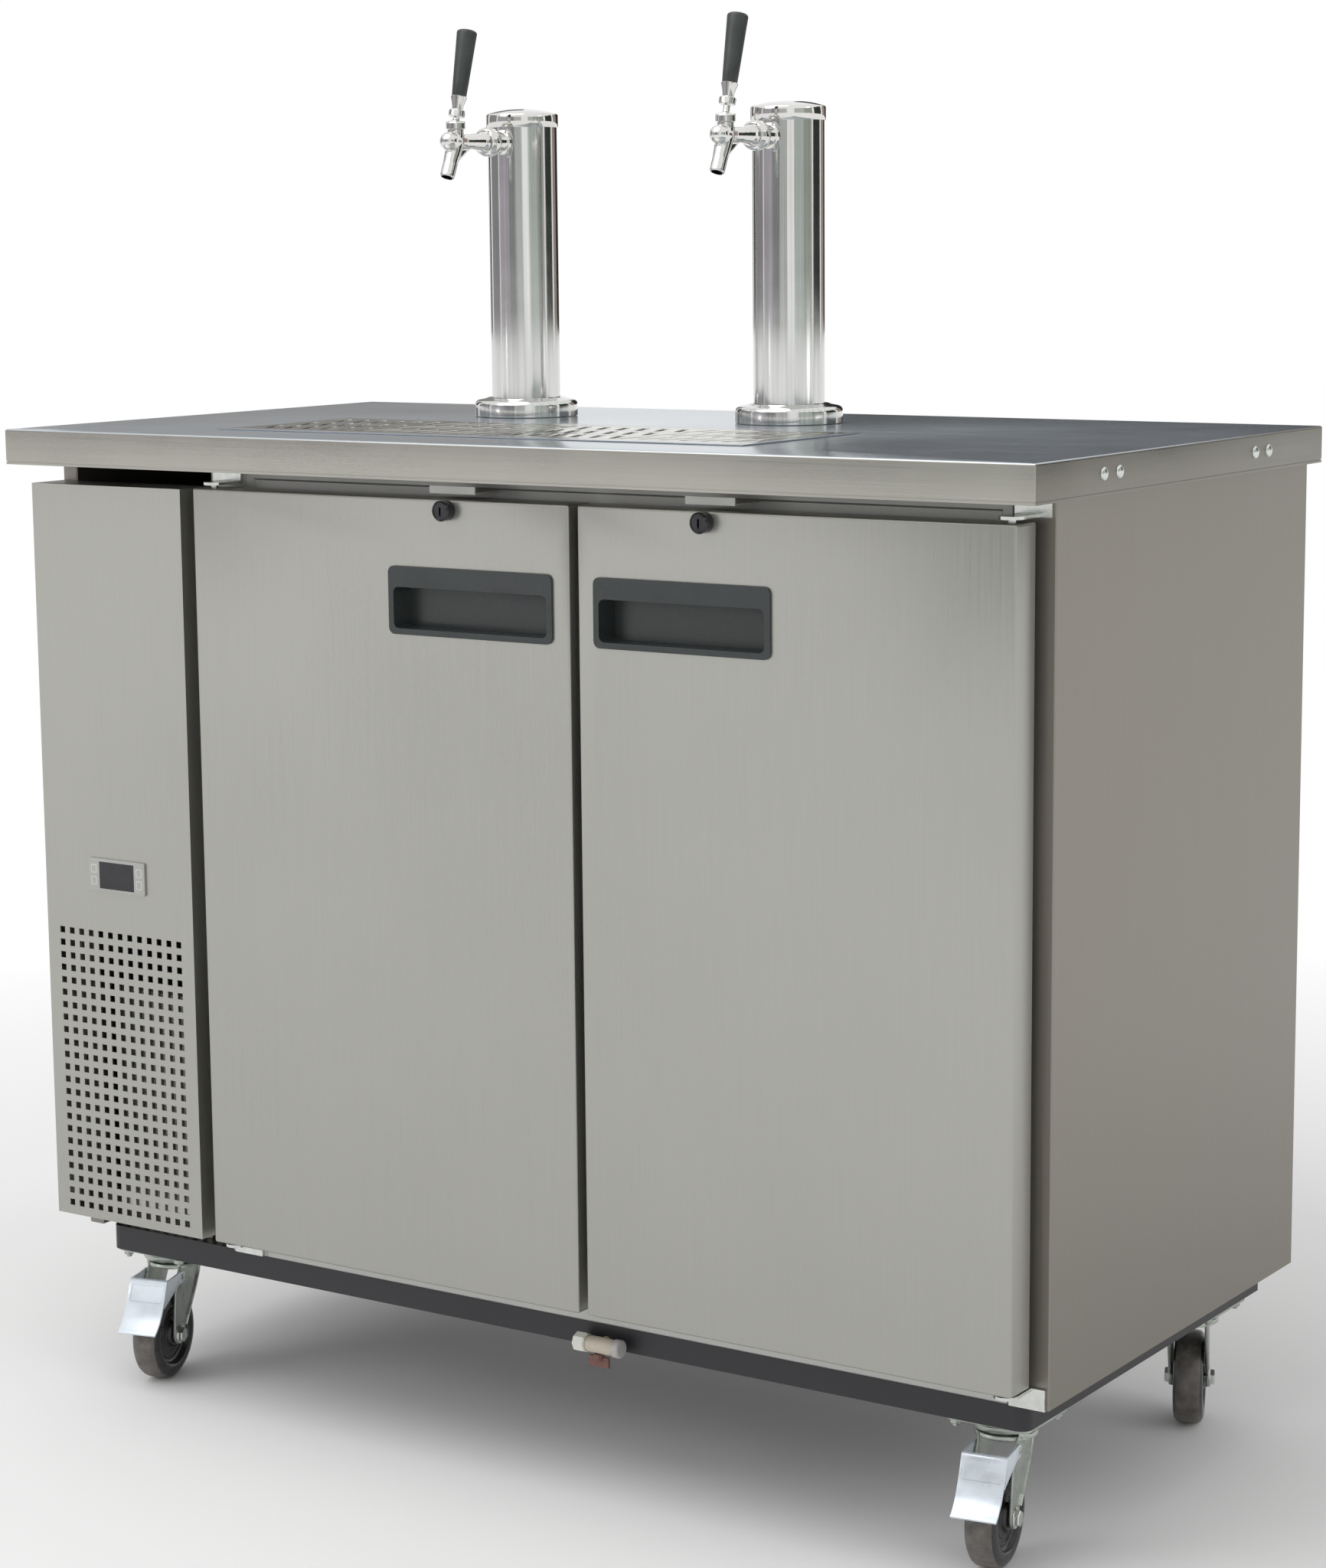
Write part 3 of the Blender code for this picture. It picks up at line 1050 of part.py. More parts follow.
def wheel(word, swivel):
    axle = frame_at(f"{word}_wheel_axle", (0, -TRAIL, WHEEL_RADIUS))
    axle.parent = swivel
    half = WHEEL_WIDTH / 2
    bore = AXLE_RADIUS + RUNNING_GAP
    dish = half - WHEEL_DISH
    profile = [(bore, half), (WHEEL_HUB_RADIUS, half), (WHEEL_RIM_RADIUS, dish),
               (WHEEL_RADIUS - WHEEL_CROWN, half), (WHEEL_RADIUS, half - WHEEL_CROWN)]
    mirrored = [(radius, -height) for radius, height in reversed(profile)]
    turned(f"{word}_wheel", profile + mirrored, (0, 0, 0), "X", WHEEL_RUBBER, axle,
           facets=FACETS_FINE, ring=True)


def brake_pedal(word, swivel, crown_top):
    """A bent sheet over the front of the wheel, with an ear outside each fork leg."""
    pin_z = crown_top - PEDAL_PIN_DROP
    axle = frame_at(f"{word}_pedal_axle", (0, PEDAL_PIN_Y, pin_z))
    axle.parent = swivel
    outer = leg_span()[1] + SEAT
    half = outer + PEDAL_SHEET
    bends = [(PEDAL_TOP_Y, PEDAL_TOP_DROP), (PEDAL_KNEE_Y, PEDAL_KNEE_DROP), (PEDAL_TOE_Y, PEDAL_TOE_DROP)]
    line = [(bend_y - PEDAL_PIN_Y, crown_top - drop - pin_z) for bend_y, drop in bends]
    build = bmesh.new()
    rows = []
    for across in (-half, half):
        rows.append([build.verts.new((across, along, up)) for along, up in line])
    for step in range(len(line) - 1):
        build.faces.new((rows[0][step], rows[1][step], rows[1][step + 1], rows[0][step + 1]))
    pedal = add(f"{word}_brake_pedal", finish("pedal", build), WHITE_ZINC, axle)
    sheet = pedal.modifiers.new("sheet", "SOLIDIFY")
    sheet.thickness = PEDAL_SHEET
    sheet.offset = 0
    reach = line[0][0]
    knee = line[1]
    depth = PEDAL_EAR_DEPTH / 2
    outline = [(depth, depth), (depth, -depth), (knee[0], knee[1]), (reach, line[0][1]), (0, depth)]
    sideways = Matrix.Rotation(math.pi / 2, 3, "Z") @ Matrix.Rotation(math.pi / 2, 3, "X")
    for number, start in enumerate((-half, outer)):
        ear = plate(f"{word}_ear_{number}", outline, PEDAL_SHEET, (start, 0, 0), "Z", None, axle)
        ear.rotation_euler = sideways.to_euler()
        weld(pedal, ear)
    cut(pedal, rod(f"{word}_pedal_bore", PEDAL_PIN_RADIUS + SEAT, (-half - CUT_OVERRUN, 0, 0),
                   2 * (half + CUT_OVERRUN), "X", group=axle))


walls()
top_rail()
plinth()
worktop()
vent_panel()
condensing_unit()
evaporator()
drip_tray()
drain_valve()
for hand in (-1, 1):
    tower(hand)
    door(hand)
caster("front_left", -CASTER_X, CASTER_FRONT_Y, True)
caster("front_right", CASTER_X, CASTER_FRONT_Y, True)
caster("rear_left", -CASTER_X, CASTER_REAR_Y, False)
caster("rear_right", CASTER_X, CASTER_REAR_Y, False)
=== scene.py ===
import math

import bpy
from mathutils import Matrix, Vector


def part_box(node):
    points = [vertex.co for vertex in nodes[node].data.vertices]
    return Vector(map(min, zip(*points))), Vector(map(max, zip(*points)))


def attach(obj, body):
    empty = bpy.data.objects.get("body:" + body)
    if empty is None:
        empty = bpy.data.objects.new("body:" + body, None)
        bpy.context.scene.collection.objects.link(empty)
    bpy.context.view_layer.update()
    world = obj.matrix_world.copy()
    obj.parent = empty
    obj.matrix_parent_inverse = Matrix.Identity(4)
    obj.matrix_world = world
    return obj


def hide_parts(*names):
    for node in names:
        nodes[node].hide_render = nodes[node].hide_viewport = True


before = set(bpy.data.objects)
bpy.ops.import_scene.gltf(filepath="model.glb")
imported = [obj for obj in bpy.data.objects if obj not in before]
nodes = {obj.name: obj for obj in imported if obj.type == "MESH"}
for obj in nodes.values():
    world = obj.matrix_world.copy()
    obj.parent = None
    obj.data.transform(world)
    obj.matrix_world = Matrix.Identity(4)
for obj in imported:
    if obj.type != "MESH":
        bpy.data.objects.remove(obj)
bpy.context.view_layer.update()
print("frame loaded with", len(nodes), "nodes")

mm = 0.001
overrun = 10 * mm  # how far a cutter reaches past the piece that it cuts

# Camera, where the photograph was taken from
cameraSetup = {
    "place": (2.0457, -3.0593, 1.2762),
    "turnDegrees": (80.900, 0.518, 33.521),
    "lens": 80.167,
    "sensor": 36.0,
}


def placeCamera():
    data = bpy.data.cameras.new("photoCamera")
    data.lens = cameraSetup["lens"]
    data.sensor_width = cameraSetup["sensor"]
    data.clip_end = 60
    camera = bpy.data.objects.new("photoCamera", data)
    camera.location = cameraSetup["place"]
    camera.rotation_euler = [math.radians(turn) for turn in cameraSetup["turnDegrees"]]
    bpy.context.scene.collection.objects.link(camera)
    bpy.context.scene.camera = camera


# Node helpers for the materials
def newMaterial(name):
    made = bpy.data.materials.new(name)
    made.use_nodes = True
    return made, made.node_tree, made.node_tree.nodes["Principled BSDF"]


def addNode(tree, kind, **values):
    node = tree.nodes.new(kind)
    for key, value in values.items():
        if key in node.inputs:
            node.inputs[key].default_value = value
        else:
            setattr(node, key, value)
    return node


def objectPattern(tree, stretch, kind="ShaderNodeTexNoise", **values):
    place = addNode(tree, "ShaderNodeTexCoord")
    mapping = addNode(tree, "ShaderNodeMapping", Scale=stretch)
    pattern = addNode(tree, kind, **values)
    tree.links.new(place.outputs["Object"], mapping.inputs["Vector"])
    tree.links.new(mapping.outputs["Vector"], pattern.inputs["Vector"])
    return pattern


def spread(tree, source, low, high, fromLow=0.3, fromHigh=0.7):
    node = addNode(tree, "ShaderNodeMapRange")
    node.inputs["From Min"].default_value = fromLow
    node.inputs["From Max"].default_value = fromHigh
    node.inputs["To Min"].default_value = low
    node.inputs["To Max"].default_value = high
    tree.links.new(source, node.inputs["Value"])
    return node.outputs["Result"]


def mathNode(tree, operation, one, two):
    node = addNode(tree, "ShaderNodeMath", operation=operation)
    for number, value in enumerate((one, two)):
        if isinstance(value, (int, float)):
            node.inputs[number].default_value = value
        else:
            tree.links.new(value, node.inputs[number])
    return node.outputs["Value"]


def tinted(tree, colour, factor):
    # the colour times a grey factor that varies over the surface
    node = addNode(tree, "ShaderNodeMix", data_type="RGBA", blend_type="MULTIPLY")
    grey = addNode(tree, "ShaderNodeCombineColor")
    for channel in ("Red", "Green", "Blue"):
        tree.links.new(factor, grey.inputs[channel])
    node.inputs[0].default_value = 1.0
    node.inputs[6].default_value = (*colour, 1.0)  # 6, 7 and 2 are the colour sockets
    tree.links.new(grey.outputs["Color"], node.inputs[7])
    return node.outputs[2]


def mixed(tree, factor, one, two):
    node = addNode(tree, "ShaderNodeMix", data_type="RGBA")
    tree.links.new(factor, node.inputs[0])
    for number, value in ((6, one), (7, two)):
        if isinstance(value, tuple):
            node.inputs[number].default_value = (*value, 1.0)
        else:
            tree.links.new(value, node.inputs[number])
    return node.outputs[2]


def bumped(tree, shader, height, distance, strength=1.0):
    node = addNode(tree, "ShaderNodeBump", Strength=strength, Distance=distance)
    tree.links.new(height, node.inputs["Height"])
    tree.links.new(node.outputs["Normal"], shader.inputs["Normal"])


def brushedSteel(name, look):
    made, tree, shader = newMaterial(name)
    along, across = look["grainLength"], look["grainWidth"]
    stretch = [1 / across] * 3
    stretch["XYZ".index(look["grainAxis"])] = 1 / along
    grain = objectPattern(tree, stretch, Scale=1.0, Detail=4.0, Roughness=0.7)
    fine = [4 / across] * 3
    fine["XYZ".index(look["grainAxis"])] = 2 / along
    hair = objectPattern(tree, fine, Scale=1.0, Detail=2.0, Roughness=0.6)
    cloud = objectPattern(tree, (1, 1, 1), Scale=look["cloudScale"], Detail=3.0, Roughness=0.55)
    shade = mathNode(tree, "ADD", spread(tree, grain.outputs["Fac"], -look["grain"], look["grain"]),
                     spread(tree, cloud.outputs["Fac"], 1 - look["cloud"], 1 + look["cloud"]))
    shade = mathNode(tree, "ADD", shade, spread(tree, hair.outputs["Fac"], -look["grain"], look["grain"]))
    tree.links.new(tinted(tree, look["colour"], shade), shader.inputs["Base Color"])
    rough = mathNode(tree, "ADD", spread(tree, cloud.outputs["Fac"], -look["smudge"], look["smudge"]),
                     spread(tree, grain.outputs["Fac"], look["roughness"] - 0.04, look["roughness"] + 0.04))
    tree.links.new(rough, shader.inputs["Roughness"])
    shader.inputs["Metallic"].default_value = look["metallic"]
    shader.inputs["Anisotropic"].default_value = look["anisotropy"]
    bumped(tree, shader, hair.outputs["Fac"], look["grainDepth"])
    return made


def polishedMetal(name, look):
    made, tree, shader = newMaterial(name)
    haze = objectPattern(tree, (1, 1, 1), Scale=look["hazeScale"], Detail=4.0, Roughness=0.6)
    fine = objectPattern(tree, look["lineStretch"], Scale=1.0, Detail=3.0, Roughness=0.6)
    shade = mathNode(tree, "ADD", spread(tree, haze.outputs["Fac"], 1 - look["haze"], 1 + look["haze"]),
                     spread(tree, fine.outputs["Fac"], -look["lines"], look["lines"]))
    tree.links.new(tinted(tree, look["colour"], shade), shader.inputs["Base Color"])
    rough = spread(tree, haze.outputs["Fac"], look["roughness"] * 0.7, look["roughness"] * 1.4)
    tree.links.new(rough, shader.inputs["Roughness"])
    shader.inputs["Metallic"].default_value = look["metallic"]
    bumped(tree, shader, fine.outputs["Fac"], look["lineDepth"])
    return made


def moulded(name, look):
    # plastic, rubber and paint: a fine skin texture with slow changes of colour and gloss
    made, tree, shader = newMaterial(name)
    skin = objectPattern(tree, (1, 1, 1), Scale=look["skinScale"], Detail=3.0, Roughness=0.6)
    cloud = objectPattern(tree, (1, 1, 1), Scale=look["cloudScale"], Detail=4.0, Roughness=0.6)
    mix = mixed(tree, spread(tree, cloud.outputs["Fac"], 0.0, 1.0), look["colour"], look["second"])
    tree.links.new(mix, shader.inputs["Base Color"])
    rough = mathNode(tree, "ADD", spread(tree, cloud.outputs["Fac"], -0.06, 0.06),
                     spread(tree, skin.outputs["Fac"], look["roughness"] - 0.03, look["roughness"] + 0.03))
    tree.links.new(rough, shader.inputs["Roughness"])
    shader.inputs["Metallic"].default_value = look["metallic"]
    bumped(tree, shader, skin.outputs["Fac"], look["skinDepth"])
    return made


steelLooks = {
    "frontSteel": {"colour": (0.405, 0.402, 0.372), "grainAxis": "Z", "grainLength": 0.16,
                   "grainWidth": 0.0022,
                   "grain": 0.02, "cloudScale": 1.6, "cloud": 0.045, "smudge": 0.05, "roughness": 0.33,
                   "metallic": 0.85, "anisotropy": 0.5, "grainDepth": 0.00002},
    # painted shade: a darker, warmer copy of the front steel for the sides that face away from the light
    "shadedSideSteel": {"colour": (0.262, 0.243, 0.215), "grainAxis": "Z", "grainLength": 0.18,
                  "grainWidth": 0.0024,
                  "grain": 0.025, "cloudScale": 1.3, "cloud": 0.06, "smudge": 0.06, "roughness": 0.36,
                  "metallic": 0.85, "anisotropy": 0.5, "grainDepth": 0.00002},
    # painted light: a lighter copy of the front steel for upward faces, tinted bluish as a painted reflection
    "litTopSteel": {"colour": (0.485, 0.533, 0.578), "grainAxis": "X", "grainLength": 0.2, "grainWidth": 0.002,
                 "grain": 0.015, "cloudScale": 2.0, "cloud": 0.03, "smudge": 0.04, "roughness": 0.22,
                 "metallic": 0.8, "anisotropy": 0.4, "grainDepth": 0.00001},
    "apronSteel": {"colour": (0.405, 0.395, 0.355), "grainAxis": "X", "grainLength": 0.22,
                   "grainWidth": 0.0016,
                   "grain": 0.035, "cloudScale": 4.0, "cloud": 0.08, "smudge": 0.06, "roughness": 0.3,
                   "metallic": 0.85, "anisotropy": 0.5, "grainDepth": 0.00002},
    # painted shade: a darker copy of the steel for the worktop's end faces, like the shaded side
    "shadedEndSteel": {"colour": (0.235, 0.225, 0.195), "grainAxis": "Y", "grainLength": 0.2, "grainWidth": 0.0018,
                 "grain": 0.035, "cloudScale": 5.0, "cloud": 0.12, "smudge": 0.06, "roughness": 0.3,
                 "metallic": 0.85, "anisotropy": 0.5, "grainDepth": 0.00002},
    "liner": {"colour": (0.5, 0.5, 0.48), "grainAxis": "Z", "grainLength": 0.05, "grainWidth": 0.004,
              "grain": 0.02, "cloudScale": 5.0, "cloud": 0.05, "smudge": 0.05, "roughness": 0.45,
              "metallic": 0.4, "anisotropy": 0.2, "grainDepth": 0.00002},
    "finMetal": {"colour": (0.5, 0.49, 0.46), "grainAxis": "Z", "grainLength": 0.02, "grainWidth": 0.0015,
                 "grain": 0.1, "cloudScale": 14.0, "cloud": 0.15, "smudge": 0.08, "roughness": 0.4,
                 "metallic": 0.8, "anisotropy": 0.2, "grainDepth": 0.00005},
}
polishLooks = {
    "chrome": {"colour": (0.72, 0.71, 0.69), "hazeScale": 30.0, "haze": 0.05, "lineStretch": (400, 400, 60),
               "lines": 0.02, "roughness": 0.07, "metallic": 1.0, "lineDepth": 0.000004},
    "columnSteel": {"colour": (0.66, 0.665, 0.65), "hazeScale": 12.0, "haze": 0.05,
                    "lineStretch": (420, 420, 3), "lines": 0.12, "roughness": 0.09, "metallic": 1.0,
                    "lineDepth": 0.00003},
    "blackChrome": {"colour": (0.05, 0.05, 0.055), "hazeScale": 60.0, "haze": 0.2,
                    "lineStretch": (300, 300, 300), "lines": 0.1, "roughness": 0.12, "metallic": 0.9,
                    "lineDepth": 0.00001},
    "grateSteel": {"colour": (0.52, 0.52, 0.48), "hazeScale": 25.0, "haze": 0.12,
                   "lineStretch": (90, 700, 90), "lines": 0.05, "roughness": 0.16, "metallic": 1.0,
                   "lineDepth": 0.00001},
    "zinc": {"colour": (0.42, 0.45, 0.41), "hazeScale": 45.0, "haze": 0.16, "lineStretch": (250, 250, 250),
             "lines": 0.05, "roughness": 0.3, "metallic": 0.85, "lineDepth": 0.00002},
    "brightZinc": {"colour": (0.66, 0.68, 0.65), "hazeScale": 60.0, "haze": 0.1,
                   "lineStretch": (250, 250, 250), "lines": 0.05, "roughness": 0.2, "metallic": 0.9,
                   "lineDepth": 0.00002},
    "whiteZinc": {"colour": (0.74, 0.8, 0.86), "hazeScale": 30.0, "haze": 0.05,
                  "lineStretch": (250, 250, 250), "lines": 0.02, "roughness": 0.3, "metallic": 0.45,
                  "lineDepth": 0.00001},
}
mouldedLooks = {
    "blackPlastic": {"colour": (0.022, 0.027, 0.027), "second": (0.028, 0.034, 0.034), "skinScale": 1400.0,
                     "cloudScale": 25.0, "roughness": 0.3, "metallic": 0.0, "skinDepth": 0.00002},
    "gripPlastic": {"colour": (0.028, 0.034, 0.032), "second": (0.04, 0.048, 0.045), "skinScale": 900.0,
                    "cloudScale": 40.0, "roughness": 0.36, "metallic": 0.0, "skinDepth": 0.00003},
    "blackPaint": {"colour": (0.016, 0.015, 0.019), "second": (0.022, 0.022, 0.026), "skinScale": 600.0,
                   "cloudScale": 8.0, "roughness": 0.42, "metallic": 0.0, "skinDepth": 0.00004},
    "gasketRubber": {"colour": (0.022, 0.022, 0.022), "second": (0.03, 0.03, 0.03), "skinScale": 500.0,
                     "cloudScale": 20.0, "roughness": 0.6, "metallic": 0.0, "skinDepth": 0.00003},
    "greyPlastic": {"colour": (0.36, 0.36, 0.345), "second": (0.4, 0.4, 0.38), "skinScale": 1200.0,
                    "cloudScale": 30.0, "roughness": 0.35, "metallic": 0.0, "skinDepth": 0.00002},
    "markPlastic": {"colour": (0.6, 0.6, 0.58), "second": (0.68, 0.68, 0.65), "skinScale": 900.0,
                    "cloudScale": 60.0, "roughness": 0.4, "metallic": 0.0, "skinDepth": 0.00001},
    "tabPlastic": {"colour": (0.56, 0.56, 0.53), "second": (0.6, 0.6, 0.57), "skinScale": 900.0,
                   "cloudScale": 30.0, "roughness": 0.4, "metallic": 0.0, "skinDepth": 0.00002},
    "displayGlass": {"colour": (0.014, 0.013, 0.017), "second": (0.02, 0.018, 0.022), "skinScale": 200.0,
                     "cloudScale": 60.0, "roughness": 0.14, "metallic": 0.0, "skinDepth": 0.000002},
    "valvePlastic": {"colour": (0.5, 0.45, 0.36), "second": (0.58, 0.52, 0.43), "skinScale": 700.0,
                     "cloudScale": 80.0, "roughness": 0.4, "metallic": 0.0, "skinDepth": 0.00003},
    "valveWhite": {"colour": (0.68, 0.69, 0.62), "second": (0.76, 0.76, 0.7), "skinScale": 700.0,
                   "cloudScale": 80.0, "roughness": 0.35, "metallic": 0.0, "skinDepth": 0.00003},
    "valveGrey": {"colour": (0.42, 0.4, 0.39), "second": (0.5, 0.48, 0.46), "skinScale": 700.0,
                  "cloudScale": 80.0, "roughness": 0.4, "metallic": 0.0, "skinDepth": 0.00003},
    "leverBrown": {"colour": (0.12, 0.05, 0.04), "second": (0.2, 0.09, 0.07), "skinScale": 500.0,
                   "cloudScale": 90.0, "roughness": 0.45, "metallic": 0.0, "skinDepth": 0.00003},
    "wheelCheek": {"colour": (0.022, 0.021, 0.022), "second": (0.036, 0.034, 0.035), "skinScale": 500.0,
                   "cloudScale": 60.0, "roughness": 0.3, "metallic": 0.0, "skinDepth": 0.00003},
    # the tread's own dark rubber colour with a painted lighter brown-grey sheen mixed in
    "wheelTreadSheen": {"colour": (0.075, 0.068, 0.062), "second": (0.16, 0.145, 0.13), "skinScale": 350.0,
                   "cloudScale": 90.0, "roughness": 0.42, "metallic": 0.0, "skinDepth": 0.00006},
    "doorLiner": {"colour": (0.5, 0.5, 0.48), "second": (0.56, 0.56, 0.54), "skinScale": 600.0,
                  "cloudScale": 6.0, "roughness": 0.45, "metallic": 0.0, "skinDepth": 0.00005},
}

looks = {name: brushedSteel(name, look) for name, look in steelLooks.items()}
looks.update({name: polishedMetal(name, look) for name, look in polishLooks.items()})
looks.update({name: moulded(name, look) for name, look in mouldedLooks.items()})
print("materials made:", len(looks))


# Modelling helpers
def activate(piece):
    bpy.ops.object.select_all(action="DESELECT")
    piece.select_set(True)
    bpy.context.view_layer.objects.active = piece


def applyPlace(piece):
    activate(piece)
    bpy.ops.object.transform_apply(location=True, rotation=True, scale=True)


def applyModifier(piece, kind, **values):
    activate(piece)
    modifier = piece.modifiers.new(kind.lower(), kind)
    for key, value in values.items():
        setattr(modifier, key, value)
    bpy.ops.object.modifier_apply(modifier=modifier.name)


def block(name, low, high):
    bpy.ops.object.select_all(action="DESELECT")
    middle = [(one + two) / 2 for one, two in zip(low, high)]
    bpy.ops.mesh.primitive_cube_add(size=1, location=middle)
    piece = bpy.context.object
    piece.name = name
    piece.scale = [abs(two - one) for one, two in zip(low, high)]
    applyPlace(piece)
    return piece


def editFaces(piece, wanted):
    # opens edit mode with the faces chosen by place or normal
    activate(piece)
    bpy.ops.object.mode_set(mode="EDIT")
    bpy.ops.mesh.select_mode(type="FACE")
    bpy.ops.mesh.select_all(action="DESELECT")
    bpy.ops.object.mode_set(mode="OBJECT")
    for face in piece.data.polygons:
        face.select = wanted(face.center, face.normal)
    bpy.ops.object.mode_set(mode="EDIT")


def editEdges(piece, wanted):
    # opens edit mode with the edges chosen by their two ends
    activate(piece)
    bpy.ops.object.mode_set(mode="EDIT")
    bpy.ops.mesh.select_mode(type="EDGE")
    bpy.ops.mesh.select_all(action="DESELECT")
    bpy.ops.object.mode_set(mode="OBJECT")
    places = [vertex.co for vertex in piece.data.vertices]
    for edge in piece.data.edges:
        edge.select = wanted(places[edge.vertices[0]], places[edge.vertices[1]])
    bpy.ops.object.mode_set(mode="EDIT")


def objectMode():
    bpy.ops.object.mode_set(mode="OBJECT")


def roundEdges(piece, width, steps=3, angle=30):
    applyModifier(piece, "BEVEL", width=width, segments=steps, limit_method="ANGLE",
                  angle_limit=math.radians(angle))


def smooth(piece, angle=35):
    activate(piece)
    bpy.ops.object.shade_smooth_by_angle(angle=math.radians(angle))


def combine(piece, tool, operation="UNION"):
    applyModifier(piece, "BOOLEAN", object=tool, operation=operation, solver="EXACT")
    bpy.data.objects.remove(tool)
    return piece


def carve(piece, tool):
    return combine(piece, tool, "DIFFERENCE")


def joined(pieces, name):
    activate(pieces[0])
    for piece in pieces:
        piece.select_set(True)
    bpy.ops.object.join()
    pieces[0].name = name
    return pieces[0]


axisTurns = {
    "+Z": Matrix.Identity(4),
    "-Z": Matrix.Rotation(math.pi, 4, "X"),
    "-Y": Matrix.Rotation(math.pi / 2, 4, "X"),
    "+Y": Matrix.Rotation(-math.pi / 2, 4, "X"),
    "+X": Matrix.Rotation(math.pi / 2, 4, "Y"),
    "-X": Matrix.Rotation(-math.pi / 2, 4, "Y"),
}


def bow(radiusAt, heightAt, radius, start, end, steps=6):
    # points of an arc in a turned profile, angles in degrees
    angles = [math.radians(start + (end - start) * step / steps) for step in range(steps + 1)]
    return [(radiusAt + radius * math.cos(angle), heightAt + radius * math.sin(angle)) for angle in angles]


def drawPath(name, points):
    # one vertex drawn on through all the points by extruding it
    bpy.ops.object.select_all(action="DESELECT")
    bpy.ops.mesh.primitive_plane_add(size=1, location=(0, 0, 0))
    piece = bpy.context.object
    piece.name = name
    bpy.ops.object.mode_set(mode="EDIT")
    bpy.ops.mesh.select_mode(type="VERT")
    bpy.ops.mesh.select_all(action="SELECT")
    bpy.ops.mesh.merge(type="CENTER")
    bpy.ops.transform.translate(value=points[0])
    for one, two in zip(points, points[1:]):
        step = [end - start for start, end in zip(one, two)]
        bpy.ops.mesh.extrude_region_move(TRANSFORM_OT_translate={"value": step})
    bpy.ops.mesh.select_all(action="SELECT")
    return piece


def turned(name, profile, centre=(0, 0, 0), axis="+Z", steps=64, angle=35, ring=False):
    # a profile of radius and height, spun about its axis
    points = [(radius, 0, height) for radius, height in profile]
    if ring:
        points.append(points[0])
    piece = drawPath(name, points)
    bpy.ops.mesh.spin(steps=steps, angle=2 * math.pi, center=(0, 0, 0), axis=(0, 0, 1))
    bpy.ops.mesh.select_all(action="SELECT")
    bpy.ops.mesh.remove_doubles(threshold=0.00001)
    bpy.ops.mesh.normals_make_consistent(inside=False)
    objectMode()
    turn = axisTurns[axis] if isinstance(axis, str) else axis
    piece.matrix_world = Matrix.Translation(centre) @ turn
    applyPlace(piece)
    smooth(piece, angle)
    return piece


def cutOut(name, outline, thickness, matrix):
    # a flat outline in XY, filled and drawn out along Z
    piece = drawPath(name, [(across, up, 0) for across, up in outline])
    bpy.ops.mesh.edge_face_add()
    bpy.ops.mesh.extrude_region_move(TRANSFORM_OT_translate={"value": (0, 0, thickness)})
    bpy.ops.mesh.select_all(action="SELECT")
    bpy.ops.mesh.normals_make_consistent(inside=False)
    objectMode()
    piece.matrix_world = matrix
    applyPlace(piece)
    return piece


def roundedOutline(low, high, radius, steps=5):
    # a rectangle with round corners, counter-clockwise
    corners = [(high[0], low[1], -90), (high[0], high[1], 0), (low[0], high[1], 90), (low[0], low[1], 180)]
    points = []
    for across, up, start in corners:
        inX = radius if across == low[0] else -radius
        inY = radius if up == low[1] else -radius
        points += bow(across + inX, up + inY, radius, start, start + 90, steps)
    return points


def dress(piece, look, body, slot, *replaced):
    piece.data.materials.clear()
    piece.data.materials.append(looks[look])
    applyPlace(piece)
    if replaced:
        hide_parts(*replaced)
    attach(piece, body)
    return piece


def addLook(piece, look, wanted):
    # a second finish on the faces chosen by place or normal
    piece.data.materials.append(looks[look])
    number = len(piece.data.materials) - 1
    for face in piece.data.polygons:
        if wanted(face.center, face.normal):
            face.material_index = number
    return piece


# Worktop: folded sheet with its apron, the opening for the drip tray and domed screws on both ends
worktopShape = {
    "edge": 2.5 * mm, "corner": 1.4 * mm, "trayInset": 100.5 * mm, "trayDepth": 209 * mm,
    "trayWidth": 645 * mm, "trayMiddle": -72.5 * mm, "hem": 1.2 * mm, "hemInset": 1.0 * mm,
    "studHeight": 3 * mm, "studRadius": 6.5 * mm, "studDrop": 17.5 * mm, "studRow": 167 * mm,
    "studSpacing": 32 * mm,
}


